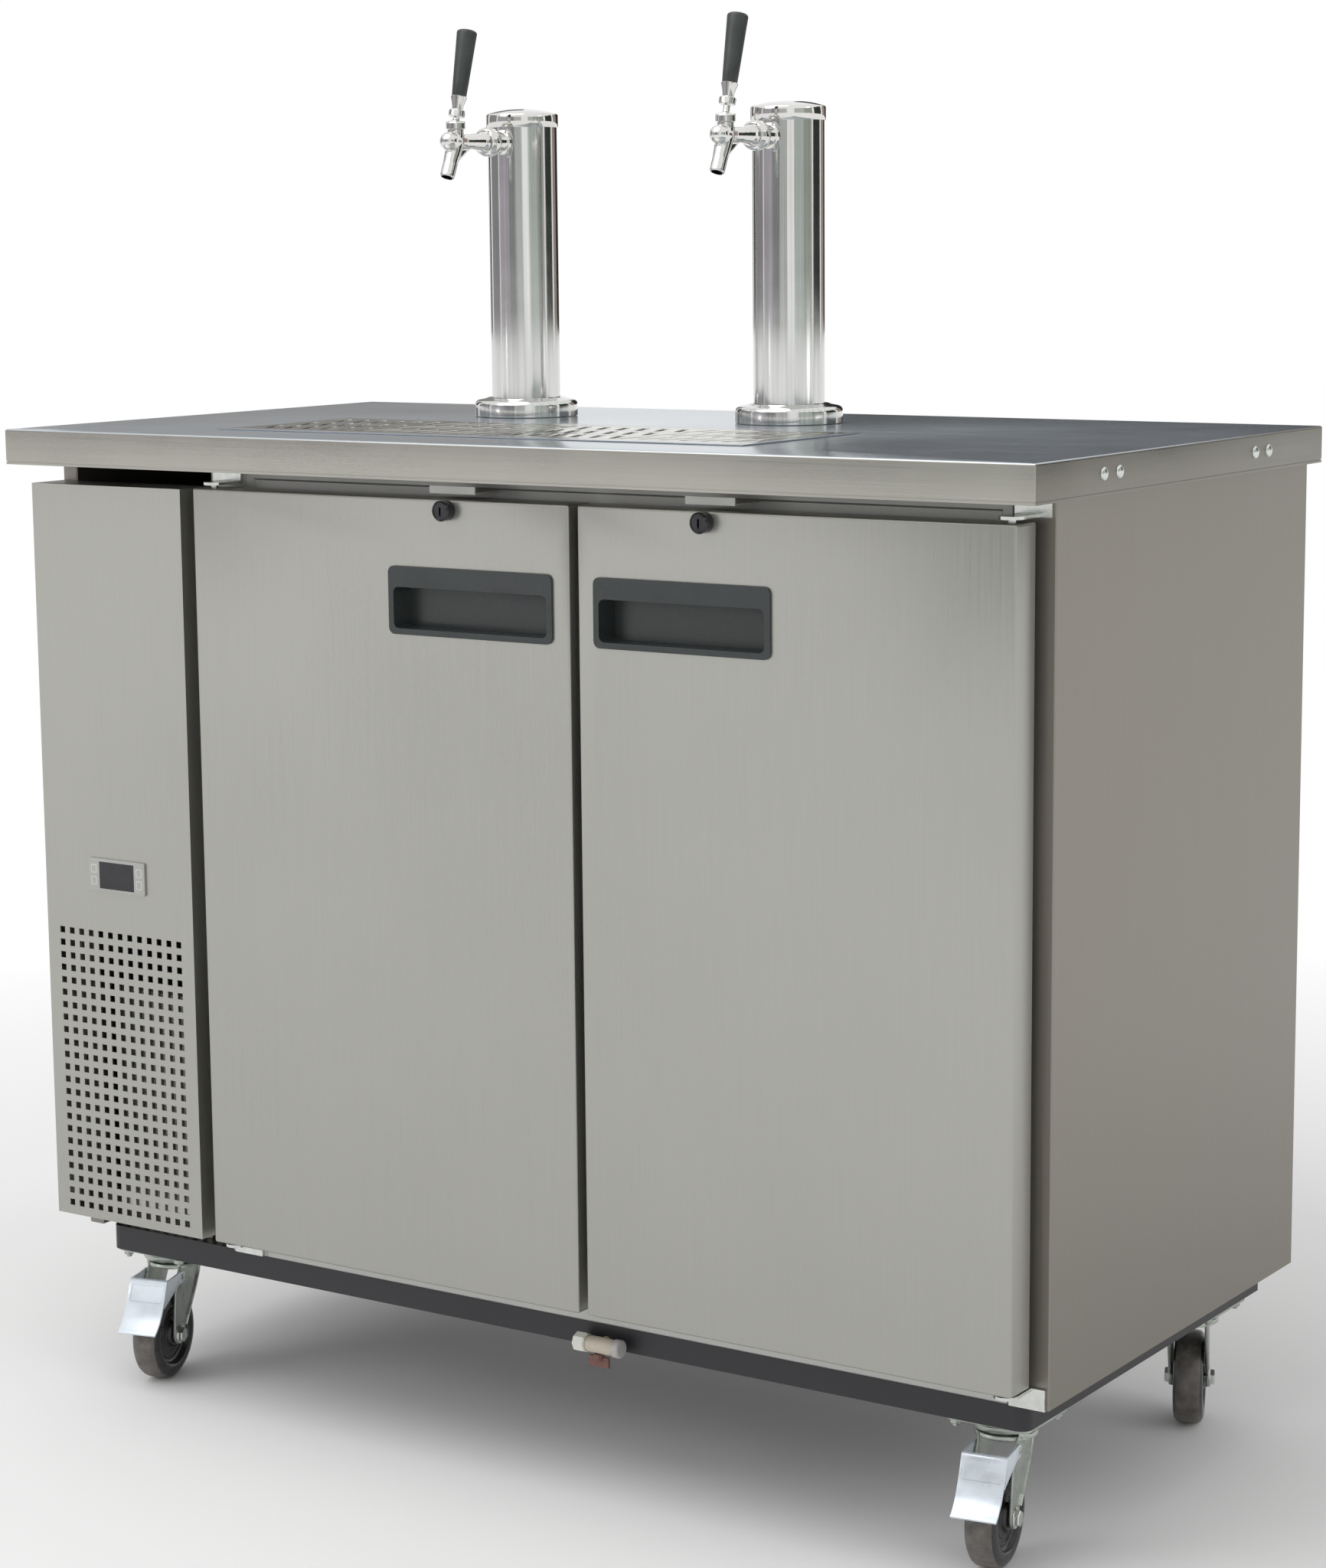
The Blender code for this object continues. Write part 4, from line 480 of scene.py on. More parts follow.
def makeWorktop():
    shape = worktopShape
    low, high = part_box("worktop")
    low.x += shape["studHeight"]
    high.x -= shape["studHeight"]
    top = block("worktop_sheet", low, high)
    editEdges(top, lambda one, two: abs(one.z - two.z) > shape["edge"])
    bpy.ops.mesh.bevel(offset=shape["corner"], segments=3, affect="EDGES")
    objectMode()
    editFaces(top, lambda centre, normal: normal.z > 0.9)
    bpy.ops.mesh.region_to_loop()
    bpy.ops.mesh.bevel(offset=shape["edge"], segments=5, affect="EDGES")
    objectMode()
    left = shape["trayMiddle"] - shape["trayWidth"] / 2
    right = left + shape["trayWidth"]
    front = low.y + shape["trayInset"]
    back = front + shape["trayDepth"]
    cuts = [((0, 0, low.z + 2 * shape["hem"]), (0, 0, 1)), ((0, 0, low.z + 3 * shape["hem"]), (0, 0, 1)),
            ((left, 0, 0), (1, 0, 0)), ((right, 0, 0), (1, 0, 0)), ((0, front, 0), (0, 1, 0)),
            ((0, back, 0), (0, 1, 0))]
    for place, facing in cuts:
        editFaces(top, lambda centre, normal: True)
        bpy.ops.mesh.bisect(plane_co=place, plane_no=facing)
        objectMode()
    editFaces(top, lambda centre, normal: abs(centre.z - low.z - 2.5 * shape["hem"]) < 0.2 * shape["hem"])
    bpy.ops.mesh.extrude_region_shrink_fatten(TRANSFORM_OT_shrink_fatten={"value": -shape["hemInset"]})
    objectMode()
    editFaces(top, lambda centre, normal: abs(normal.z) > 0.9 and left < centre.x < right
              and front < centre.y < back)
    bpy.ops.mesh.delete(type="FACE")
    bpy.ops.mesh.select_mode(type="EDGE")
    bpy.ops.mesh.select_all(action="DESELECT")
    bpy.ops.mesh.select_non_manifold()
    bpy.ops.mesh.bridge_edge_loops()
    bpy.ops.mesh.select_all(action="SELECT")
    bpy.ops.mesh.normals_make_consistent(inside=False)
    objectMode()
    dress(top, "apronSteel", "cabinet", "top_steel", "worktop")
    # painted light: the upward faces take the lighter top copy of the steel
    addLook(top, "litTopSteel", lambda centre, normal: normal.z > 0.55)
    # painted shade: the end faces take the darker end copy of the steel
    addLook(top, "shadedEndSteel", lambda centre, normal: abs(normal.x) > 0.75)
    smooth(top, 30)
    angles = [math.radians(step) for step in range(0, 91, 15)]
    profile = [(shape["studRadius"] * math.sin(angle), shape["studHeight"] * math.cos(angle))
               for angle in angles]
    profile += [(shape["studRadius"], -0.5 * mm), (0, -0.5 * mm)]
    studs = []
    for end in (-1, 1):
        for row in (-1, 1):
            for side in (-1, 1):
                place = (end * high.x, row * shape["studRow"] + side * shape["studSpacing"] / 2,
                         high.z - shape["studDrop"])
                studs.append(turned("stud", profile, place, "+X" if end > 0 else "-X", 32))
    dress(joined(studs, "worktop_screws"), "brightZinc", "cabinet", "top_steel", "worktop")


makeWorktop()
print("worktop made")

# Doors: a folded skin with a recessed inner liner, openings for the handle and the lock
doorShape = {
    "edge": 2.4 * mm, "linerInset": 36 * mm, "linerDepth": 6 * mm, "cupFit": 3.2 * mm, "lockHole": 8.3 * mm,
    "lockDepth": 20.5 * mm,
}


def makeDoor(side):
    shape = doorShape
    low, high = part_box(side + "_door_panel")
    cupLow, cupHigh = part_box(side + "_handle_recess")
    lockLow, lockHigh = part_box(side + "_lock_barrel")
    door = block(side + "_door_skin", low, high)
    roundEdges(door, shape["edge"], 4)
    editFaces(door, lambda centre, normal: normal.y > 0.99)
    bpy.ops.mesh.inset(thickness=shape["linerInset"], depth=0)
    bpy.ops.mesh.inset(thickness=shape["linerDepth"], depth=-shape["linerDepth"])
    objectMode()
    fit = shape["cupFit"]
    carve(door, block("cup_hole", (cupLow.x + fit, low.y - overrun, cupLow.z + fit),
                      (cupHigh.x - fit, cupHigh.y + 0.3 * mm, cupHigh.z - fit)))
    middle = ((lockLow.x + lockHigh.x) / 2, low.y - overrun, (lockLow.z + lockHigh.z) / 2)
    hole = [(0, 0), (shape["lockHole"], 0), (shape["lockHole"], shape["lockDepth"] + overrun),
            (0, shape["lockDepth"] + overrun)]
    carve(door, turned("lock_hole", hole, middle, "+Y", 32))
    dress(door, "frontSteel", side + "_door", "front_steel", side + "_door_panel")
    addLook(door, "doorLiner", lambda centre, normal: centre.y > high.y - 0.01 and normal.y > -0.5
            and abs(centre.x - (low.x + high.x) / 2) < (high.x - low.x) / 2 - 3 * mm
            and abs(centre.z - (low.z + high.z) / 2) < (high.z - low.z) / 2 - 3 * mm)
    smooth(door, 30)


# Recessed handles: a frame with round corners, a cup behind it and a finger pocket behind the top lip
handleShape = {
    "corner": 7 * mm, "frame": 2.5 * mm, "bodyInset": 3.5 * mm, "sideLip": 6 * mm, "topLip": 21 * mm,
    "bottomLip": 6 * mm, "cupCorner": 6 * mm, "wall": 1.8 * mm, "draft": 0.955, "pocket": 12 * mm,
    "lipThick": 4 * mm, "edge": 0.8 * mm, "pocketSide": 4 * mm, "pocketDrop": 6 * mm,
    "pocketEdge": 2.5 * mm,
}


def makeHandle(side):
    shape = handleShape
    low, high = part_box(side + "_handle_recess")
    facing = Matrix.Translation((0, low.y, 0)) @ Matrix.Rotation(math.pi / 2, 4, "X")
    # in the outline X is across and Y is up, and a positive thickness goes out to the front
    frameOutline = roundedOutline((low.x, low.z), (high.x, high.z), shape["corner"], 6)
    handle = cutOut(side + "_handle", frameOutline, -shape["frame"], facing)
    inset = shape["bodyInset"]
    body = cutOut("cup_body", roundedOutline((low.x + inset, low.z + inset), (high.x - inset, high.z - inset),
                                             shape["corner"] - inset, 4), -(high.y - low.y), facing)
    combine(handle, body)
    cupLow = (low.x + shape["sideLip"], low.z + shape["bottomLip"])
    cupHigh = (high.x - shape["sideLip"], high.z - shape["topLip"])
    cavity = cutOut("cavity", roundedOutline(cupLow, cupHigh, shape["cupCorner"], 6),
                    -(high.y - low.y - shape["wall"]) - 0.002,
                    Matrix.Translation((0, -0.002, 0)) @ facing)
    editFaces(cavity, lambda centre, normal: normal.y > 0.9)
    middle = ((cupLow[0] + cupHigh[0]) / 2, 0, (cupLow[1] + cupHigh[1]) / 2)
    bpy.ops.transform.resize(value=(shape["draft"], 1, shape["draft"]), center_override=middle)
    objectMode()
    carve(handle, cavity)
    pocket = block("pocket", (cupLow[0] + shape["pocketSide"], low.y + shape["lipThick"],
                              cupHigh[1] - shape["pocketDrop"]),
                   (cupHigh[0] - shape["pocketSide"], high.y - shape["wall"], cupHigh[1] + shape["pocket"]))
    roundEdges(pocket, shape["pocketEdge"], 3)
    carve(handle, pocket)
    roundEdges(handle, shape["edge"], 3, 40)
    dress(handle, "blackPlastic", side + "_door", "black_plastic", side + "_handle_recess")
    smooth(handle, 30)


# Locks: a black chromed barrel with a key face
lockShape = {"radius": 10.3 * mm, "nose": 8.8 * mm, "face": 7.6 * mm, "faceDepth": 0.9 * mm,
             "taper": 1.8 * mm,
             "shank": 8 * mm, "keyWidth": 2.2 * mm, "keyLength": 8 * mm, "keyDepth": 4 * mm}


def makeLock(side):
    shape = lockShape
    low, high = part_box(side + "_lock_barrel")
    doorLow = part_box(side + "_door_panel")[0]
    proud = doorLow.y - low.y
    profile = [(0, proud - shape["faceDepth"]), (shape["face"], proud - shape["faceDepth"]),
               (shape["face"] + 0.4 * mm, proud), (shape["nose"], proud),
               (shape["radius"], proud - shape["taper"]),
               (shape["radius"], 0), (shape["shank"], 0), (shape["shank"], doorLow.y - high.y),
               (0, doorLow.y - high.y)]
    middle = ((low.x + high.x) / 2, doorLow.y, (low.z + high.z) / 2)
    lock = turned(side + "_lock", profile, middle, "-Y", 48)
    carve(lock, block("key_slot", (middle[0] - shape["keyWidth"] / 2, low.y - 1 * mm,
                                   middle[2] - shape["keyLength"] / 2),
                      (middle[0] + shape["keyWidth"] / 2, low.y + shape["keyDepth"],
                       middle[2] + shape["keyLength"] / 2)))
    roundEdges(lock, 0.35 * mm, 2)
    dress(lock, "blackChrome", side + "_lock", "black_chrome", side + "_lock_barrel")
    smooth(lock, 35)


for side in ("left", "right"):
    makeDoor(side)
    makeHandle(side)
    makeLock(side)
print("doors made")

# Controller in the vent panel: bezel, display window and four outlined buttons
controllerShape = {
    "corner": 2.2 * mm, "bezel": 2.5 * mm, "lip": 4 * mm, "window": 1.4 * mm, "edge": 0.6 * mm,
    "buttonWidth": 8 * mm, "buttonHeight": 9 * mm, "buttonGap": 4 * mm, "outline": 0.7 * mm,
    "outlineProud": 0.12 * mm, "buttonCorner": 1.6 * mm, "innerCorner": 1 * mm, "glassInset": 0.35 * mm,
    "glassEdge": 0.3 * mm,
}


def makeController():
    shape = controllerShape
    low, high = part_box("controller_housing")
    glassLow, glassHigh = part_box("controller_display")
    facing = Matrix.Translation((0, low.y, 0)) @ Matrix.Rotation(math.pi / 2, 4, "X")
    bezel = cutOut("controller_bezel", roundedOutline((low.x, low.z), (high.x, high.z), shape["corner"], 4),
                   -shape["bezel"], facing)
    lip = shape["lip"]
    combine(bezel, block("case", (low.x + lip, low.y + 0.001, low.z + lip / 2),
                         (high.x - lip, high.y, high.z - lip / 2)))
    carve(bezel, block("window", (glassLow.x - 0.1 * mm, low.y - 0.001, glassLow.z - 0.1 * mm),
                       (glassHigh.x + 0.1 * mm, low.y + shape["window"], glassHigh.z + 0.1 * mm)))
    roundEdges(bezel, shape["edge"], 3, 40)
    dress(bezel, "greyPlastic", "cabinet", "grey_plastic", "controller_housing")
    smooth(bezel, 30)
    glass = block("controller_window", (glassLow.x, low.y + shape["glassInset"], glassLow.z),
                  (glassHigh.x, glassHigh.y, glassHigh.z))
    roundEdges(glass, shape["glassEdge"], 2)
    dress(glass, "displayGlass", "cabinet", "display_glass", "controller_display")
    marks = []
    for across in ((low.x + glassLow.x) / 2, (high.x + glassHigh.x) / 2):
        for up in (-1, 1):
            middle = (low.z + high.z) / 2 + up * (shape["buttonHeight"] + shape["buttonGap"]) / 2
            corner = (across - shape["buttonWidth"] / 2, middle - shape["buttonHeight"] / 2)
            opposite = (across + shape["buttonWidth"] / 2, middle + shape["buttonHeight"] / 2)
            mark = cutOut("mark", roundedOutline(corner, opposite, shape["buttonCorner"], 4),
                          shape["outlineProud"], facing)
            thin = shape["outline"]
            inner = roundedOutline((corner[0] + thin, corner[1] + thin),
                                   (opposite[0] - thin, opposite[1] - thin),
                                   shape["innerCorner"], 4)
            carve(mark, cutOut("mark_inner", inner, 0.004, Matrix.Translation((0, 0.002, 0)) @ facing))
            marks.append(mark)
    dress(joined(marks, "button_outlines"), "markPlastic", "cabinet", "grey_plastic")


makeController()
print("controller made")

# Rail over the doors with the two lock keepers
railShape = {
    "tabWidth": 56 * mm, "tabDrop": 12.5 * mm, "tabThick": 1.6 * mm, "tabEdge": 0.5 * mm, "fold": 6 * mm,
    "edge": 1.2 * mm, "frame": 9 * mm, "dish": 2 * mm,
}


def makeRail():
    shape = railShape
    low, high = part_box("top_rail")
    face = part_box("centre_post")[0].y
    rail = block("rail_bar", (low.x, face, low.z), high)
    roundEdges(rail, shape["edge"], 3)
    editFaces(rail, lambda centre, normal: normal.y < -0.99)
    bpy.ops.mesh.inset(thickness=shape["frame"], depth=0)
    bpy.ops.mesh.inset(thickness=shape["dish"], depth=-shape["dish"])
    objectMode()
    dress(rail, "liner", "cabinet", "liner", "top_rail")
    smooth(rail, 30)
    tabs = []
    for side in ("left", "right"):
        lockLow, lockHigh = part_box(side + "_lock_barrel")
        middle = (lockLow.x + lockHigh.x) / 2
        top = high.z - shape["tabDrop"]
        tab = block("tab", (middle - shape["tabWidth"] / 2, low.y, top - shape["tabThick"]),
                    (middle + shape["tabWidth"] / 2, face + 1 * mm, top))
        lip = block("lip", (middle - shape["tabWidth"] / 2, low.y, top - shape["tabThick"]),
                    (middle + shape["tabWidth"] / 2, low.y + shape["tabThick"], top + shape["fold"]))
        combine(tab, lip)
        roundEdges(tab, shape["tabEdge"], 3)
        tabs.append(tab)
    keepers = joined(tabs, "lock_keepers")
    dress(keepers, "tabPlastic", "cabinet", "liner", "top_rail")
    smooth(keepers, 30)


makeRail()
print("rail made")

# Drip tray grates: slanted round-ended slots, leaning to the other side from field to field
grateShape = {
    "edge": 0.8 * mm, "margin": 13 * mm, "slotWidth": 7 * mm, "slotLength": 46 * mm,
    "slant": 20, "columns": 12, "rows": 3, "slotEdge": 0.5 * mm,
}


def makeGrate(side):
    shape = grateShape
    low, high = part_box("drip_grate_" + side)
    grate = block(side + "_grate_plate", low, high)
    roundEdges(grate, shape["edge"], 3)
    across = (high.x - low.x - 2 * shape["margin"]) / shape["columns"]
    upward = (high.y - low.y - 2 * shape["margin"]) / shape["rows"]
    half = (shape["slotLength"] - shape["slotWidth"]) / 2
    slots = []
    for row in range(shape["rows"]):
        for column in range(shape["columns"]):
            lean = shape["slant"] * (1 if column < shape["columns"] / 2 else -1)
            turn = Matrix.Rotation(math.radians(lean), 2)
            outline = bow(0, half, shape["slotWidth"] / 2, 0, 180, 5) + bow(0, -half, shape["slotWidth"] / 2,
                                                                            180, 360, 5)
            middle = Vector((low.x + shape["margin"] + across * (column + 0.5),
                             low.y + shape["margin"] + upward * (row + 0.5)))
            outline = [tuple(turn @ Vector(point) + middle) for point in outline]
            slots.append(cutOut("slot", outline, 0.01, Matrix.Translation((0, 0, low.z - 0.003))))
    carve(grate, joined(slots, "slots"))
    roundEdges(grate, shape["slotEdge"], 2, 50)
    dress(grate, "grateSteel", side + "_grate", "chrome", "drip_grate_" + side)
    smooth(grate, 30)


for side in ("left", "right"):
    makeGrate(side)
print("grates made")

# Tap towers: rounded base flange, column and a cap with a low dome
towerShape = {"axisY": 132 * mm, "left": -254 * mm, "right": 91 * mm, "flange": 57.5 * mm,
              "collar": 42.5 * mm,
              "column": 38.1 * mm, "wall": 1.5 * mm, "capRadius": 39.7 * mm, "capRim": 14 * mm}


def makeTower(side):
    shape = towerShape
    low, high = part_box(side + "_base_flange")
    tall = high.z - low.z
    centre = (shape[side], shape["axisY"], low.z)
    column = shape["column"]
    profile = [(column + 0.1 * mm, 0), (shape["flange"] - 0.8 * mm, 0), (shape["flange"], 0.8 * mm)]
    profile += bow(shape["flange"] - 6 * mm, 12.4 * mm, 6 * mm, 0, 76, 8)
    profile += [(shape["collar"] + 2.6 * mm, tall - 1.3 * mm), (shape["collar"] + 1 * mm, tall - 0.5 * mm),
                (shape["collar"] - 0.6 * mm, tall), (column + 0.1 * mm, tall)]
    flange = turned(side + "_tower_flange", profile, centre, steps=96, ring=True)
    dress(flange, "columnSteel", "cabinet", "chrome", side + "_base_flange")
    columnLow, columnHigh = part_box(side + "_column")
    height = columnHigh.z - columnLow.z
    tube = [(column, 0), (column, height), (column - shape["wall"], height), (column - shape["wall"], 0)]
    dress(turned(side + "_tower_column", tube, centre, steps=96, ring=True), "columnSteel", "cabinet",
          "chrome",
          side + "_column")
    capLow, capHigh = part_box(side + "_column_cap")
    dome = capHigh.z - capLow.z
    radius = shape["capRadius"]
    profile = [(column + 0.2 * mm, 0), (radius - 0.5 * mm, 0), (radius, 0.5 * mm),
               (radius, shape["capRim"] - 0.6 * mm)]
    crown = dome - shape["capRim"] - 0.4 * mm
    profile += [(radius - 0.5 * mm, shape["capRim"] + 0.2 * mm)]
    profile += [(radius * share, shape["capRim"] + 0.4 * mm + crown * (1 - share ** 2.4))
                for share in (0.97, 0.93, 0.86, 0.76, 0.62, 0.45, 0.25)] + [(0, dome)]
    profile += [(0, shape["capRim"] + 1 * mm), (column + 0.2 * mm, shape["capRim"] - 0.2 * mm)]
    cap = turned(side + "_tower_cap", profile, (centre[0], centre[1], capLow.z), steps=96, ring=True,
                 angle=50)
    dress(cap, "chrome", "cabinet", "chrome", side + "_column_cap")


# Faucets: coupling nut with spanner notches, cast body with a slanting spout, knurled bonnet
faucetShape = {
    "tapZ": 1366.9 * mm, "bonnetY": 9.3 * mm, "rootY": 59.3 * mm, "ballY": -2.7 * mm, "ball": 10 * mm,
    "root": 11.2 * mm, "waist": 8 * mm, "spoutTop": 9.4 * mm, "spoutLow": 7.9 * mm, "spoutLength": 42 * mm,
    "spoutLean": 24, "bore": 6 * mm, "boreDepth": 14 * mm, "voxel": 0.8 * mm, "bonnet": 10.5 * mm,
    "bonnetTop": 21.5 * mm, "bonnetLow": 11.5 * mm, "knurls": 36, "nut": 15.8 * mm, "nutLength": 15 * mm,
    "shank": 11 * mm, "shankFlange": 13.2 * mm, "notches": 6,
}


def makeFaucet(side):
    shape = faucetShape
    x = towerShape[side]
    tapZ = shape["tapZ"]
    shankLow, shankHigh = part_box(side + "_faucet_shank")
    face = towerShape["axisY"] - towerShape["column"]
    length = shankHigh.y - shankLow.y
    toFace = shankHigh.y - face
    profile = [(0, 0), (shape["shank"], 0), (shape["shank"], toFace),
               (shape["shankFlange"], toFace + 0.4 * mm),
               (shape["shankFlange"] + 0.4 * mm, toFace + 1.2 * mm),
               (shape["shankFlange"], toFace + 3.4 * mm),
               (shape["shank"] + 0.6 * mm, toFace + 4.2 * mm), (shape["shank"], toFace + 5.2 * mm),
               (shape["shank"], length - shape["nutLength"]), (0, length - shape["nutLength"])]
    shank = turned(side + "_shank", profile, (x, shankHigh.y, tapZ), "-Y", 48)
    nut = shape["nut"]
    start = length - shape["nutLength"]
    profile = [(0, start - 1 * mm), (shape["shank"] + 1 * mm, start - 1 * mm),
               (nut - 2.5 * mm, start + 0.2 * mm),
               (nut - 0.6 * mm, start + 1.6 * mm), (nut, start + 4 * mm), (nut, start + 9 * mm),
               (nut - 0.7 * mm, start + 12 * mm), (nut - 2.2 * mm, length - 0.8 * mm),
               (nut - 3.2 * mm, length), (0, length)]
    coupling = turned("coupling", profile, (x, shankHigh.y, tapZ), "-Y", 48)
    for notch in range(shape["notches"]):
        angle = 2 * math.pi * notch / shape["notches"] + 0.3
        place = Matrix.Translation((x, shankHigh.y - start - 6.5 * mm, tapZ)) @ Matrix.Rotation(angle, 4, "Y")
        tool = cutOut("notch", bow(0, 0, 2.4 * mm, 0, 330, 11), 6 * mm,
                      place @ Matrix.Translation((0, 0, nut - 1.8 * mm)))
        carve(coupling, tool)
    roundEdges(coupling, 0.3 * mm, 2, 40)
    smooth(coupling, 35)
    smooth(shank, 35)
    dress(joined([shank, coupling], side + "_shank_and_nut"), "chrome", "cabinet", "chrome",
          side + "_faucet_shank")

    rootY, ballY = shape["rootY"], shape["ballY"]
    run = rootY - ballY
    barrel = [(0, 0), (shape["root"], 0), (shape["root"], 3 * mm), (shape["root"] - 1.6 * mm, 8 * mm),
              (shape["waist"], run * 0.38), (shape["waist"], run * 0.62),
              (shape["ball"] - 0.5 * mm, run * 0.82),
              (shape["ball"] - 0.2 * mm, run), (0, run)]
    body = turned(side + "_faucet_casting", barrel, (x, rootY, tapZ), "-Y", 48)
    ball = turned("ball", bow(0, 0, shape["ball"], 90, -90, 16), (x, ballY, tapZ), "+Z", 48)
    combine(body, ball)
    neck = [(0, -4 * mm), (9.2 * mm, -4 * mm), (8.6 * mm, shape["bonnetLow"]), (0, shape["bonnetLow"])]
    combine(body, turned("neck", neck, (x, shape["bonnetY"], tapZ), "+Z", 48))
    down = Matrix.Rotation(math.radians(180 - shape["spoutLean"]), 4, "X")
    spout = [(0, 0), (shape["spoutTop"], 0), (shape["spoutTop"] - 0.6 * mm, 14 * mm),
             (shape["spoutLow"], 26 * mm),
             (shape["spoutLow"], shape["spoutLength"]), (0, shape["spoutLength"])]
    spoutPiece = turned("spout", spout, (0, 0, 0), "+Z", 48)
    spoutPiece.matrix_world = Matrix.Translation((x, shape["bonnetY"], tapZ)) @ down
    applyPlace(spoutPiece)
    combine(body, spoutPiece)
    # thin web between the barrel and the spout
    web = [(rootY - 20 * mm, tapZ), (shape["bonnetY"], tapZ), (shape["bonnetY"] - 9 * mm, tapZ - 22 * mm),
           (shape["bonnetY"] - 2 * mm, tapZ - 24 * mm), (rootY - 30 * mm, tapZ - 10 * mm)]
    webPlace = Matrix(((0, 0, 1, x - 2.6 * mm), (1, 0, 0, 0), (0, 1, 0, 0), (0, 0, 0, 1)))
    combine(body, cutOut("web", web, 5.2 * mm, webPlace))
    applyModifier(body, "REMESH", mode="VOXEL", voxel_size=shape["voxel"])
    applyModifier(body, "SMOOTH", factor=0.6, iterations=8)
    bore = [(0, 0), (shape["bore"] - 0.8 * mm, 0), (shape["bore"], shape["boreDepth"]),
            (shape["bore"], shape["boreDepth"] + 0.02),
            (0, shape["boreDepth"] + 0.02)]
    borePiece = turned("bore", bore, (0, 0, 0), "+Z", 40)
    borePiece.matrix_world = (Matrix.Translation((x, shape["bonnetY"], tapZ)) @ down
                              @ Matrix.Translation((0, 0, shape["spoutLength"] - shape["boreDepth"])))
    applyPlace(borePiece)
    carve(body, borePiece)
    smooth(body, 40)
    dress(body, "chrome", "cabinet", "chrome", side + "_faucet_body")
    low, mid, top = shape["bonnetLow"] - 1 * mm, 13.5 * mm, shape["bonnetTop"]
    profile = [(0, low), (8.7 * mm, low), (8.7 * mm, mid - 1 * mm), (shape["bonnet"], mid),
               (shape["bonnet"], top - 2.2 * mm), (shape["bonnet"] - 0.8 * mm, top - 0.6 * mm),
               (7.4 * mm, top), (0, top)]
    steps = shape["knurls"] * 2
    bonnet = turned(side + "_bonnet", profile, (x, shape["bonnetY"], tapZ), "+Z", steps)
    editFaces(bonnet, lambda centre, normal: abs(normal.z) < 0.2 and centre.z > tapZ + mid and
              int(round(math.atan2(centre.y - shape["bonnetY"], centre.x - x) / math.pi * shape["knurls"]
                        - 0.5)) % 2 == 0)
    bpy.ops.mesh.inset(thickness=0.12 * mm, depth=-0.35 * mm, use_individual=True)
    objectMode()
    smooth(bonnet, 25)
    dress(bonnet, "chrome", "cabinet", "chrome", side + "_faucet_body")


# Tap handles: ball joint, nut, flared ferrule and a black grip that widens to its top
tapShape = {
    "pivotZ": 1384.9 * mm, "lean": 13.5, "leftNeck": 8 * mm, "rightNeck": 12.5 * mm, "ball": 6.2 * mm,
    "stem": 3.4 * mm, "nut": 8.8 * mm, "nutHeight": 7.5 * mm, "ferruleLow": 5.7 * mm, "ferruleTop": 8.8 * mm,
    "ferruleHeight": 15 * mm, "gripLow": 7.9 * mm, "gripTop": 11 * mm, "gripHeight": 72 * mm,
    "gripEdge": 3 * mm,
}


def makeTapHandle(side):
    shape = tapShape
    place = (Matrix.Translation((towerShape[side], faucetShape["bonnetY"], shape["pivotZ"]))
             @ Matrix.Rotation(-math.radians(shape["lean"]), 4, "X"))
    neck = shape[side + "Neck"]
    nutTop = neck + shape["nutHeight"]
    lower = bow(0, 0, shape["ball"], -90, 55, 12)
    lower += [(shape["stem"], 6.5 * mm), (shape["stem"], neck), (shape["nut"] - 1 * mm, neck),
              (shape["nut"], neck + 1 * mm),
              (shape["nut"], nutTop - 1 * mm), (shape["nut"] - 1 * mm, nutTop), (5 * mm, nutTop + 0.2 * mm)]
    rise = shape["ferruleHeight"]
    flare = shape["ferruleTop"] - shape["ferruleLow"]
    lower += [(shape["ferruleLow"], nutTop + 0.6 * mm),
              (shape["ferruleLow"] + flare * 0.15, nutTop + rise * 0.3),
              (shape["ferruleLow"] + flare * 0.5, nutTop + rise * 0.6),
              (shape["ferruleTop"] - 0.2 * mm, nutTop + rise * 0.88),
              (shape["ferruleTop"], nutTop + rise - 0.6 * mm),
              (shape["ferruleTop"] - 0.6 * mm, nutTop + rise), (0, nutTop + rise)]
    metal = turned(side + "_lever", lower, (0, 0, 0), "+Z", 64)
    metal.matrix_world = place
    dress(metal, "chrome", side + "_tap_lever", "chrome", side + "_tap_handle")
    base = nutTop + rise
    top = base + shape["gripHeight"]
    edge = shape["gripEdge"]
    grip = [(0, base - 1 * mm), (shape["gripLow"] - 0.6 * mm, base - 1 * mm),
            (shape["gripLow"], base + 0.2 * mm)]
    for share in (0.2, 0.4, 0.6, 0.8):
        grip.append((shape["gripLow"] + (shape["gripTop"] - shape["gripLow"]) * share ** 0.9,
                     base + shape["gripHeight"] * share))
    grip += bow(shape["gripTop"] - edge, top - edge, edge, 0, 80, 6) + [(0, top)]
    piece = turned(side + "_grip", grip, (0, 0, 0), "+Z", 64)
    piece.matrix_world = place
    dress(piece, "gripPlastic", side + "_tap_lever", "black_plastic", side + "_tap_handle")
    smooth(piece, 40)


for side in ("left", "right"):
    makeTower(side)
    makeFaucet(side)
    makeTapHandle(side)
print("towers made")

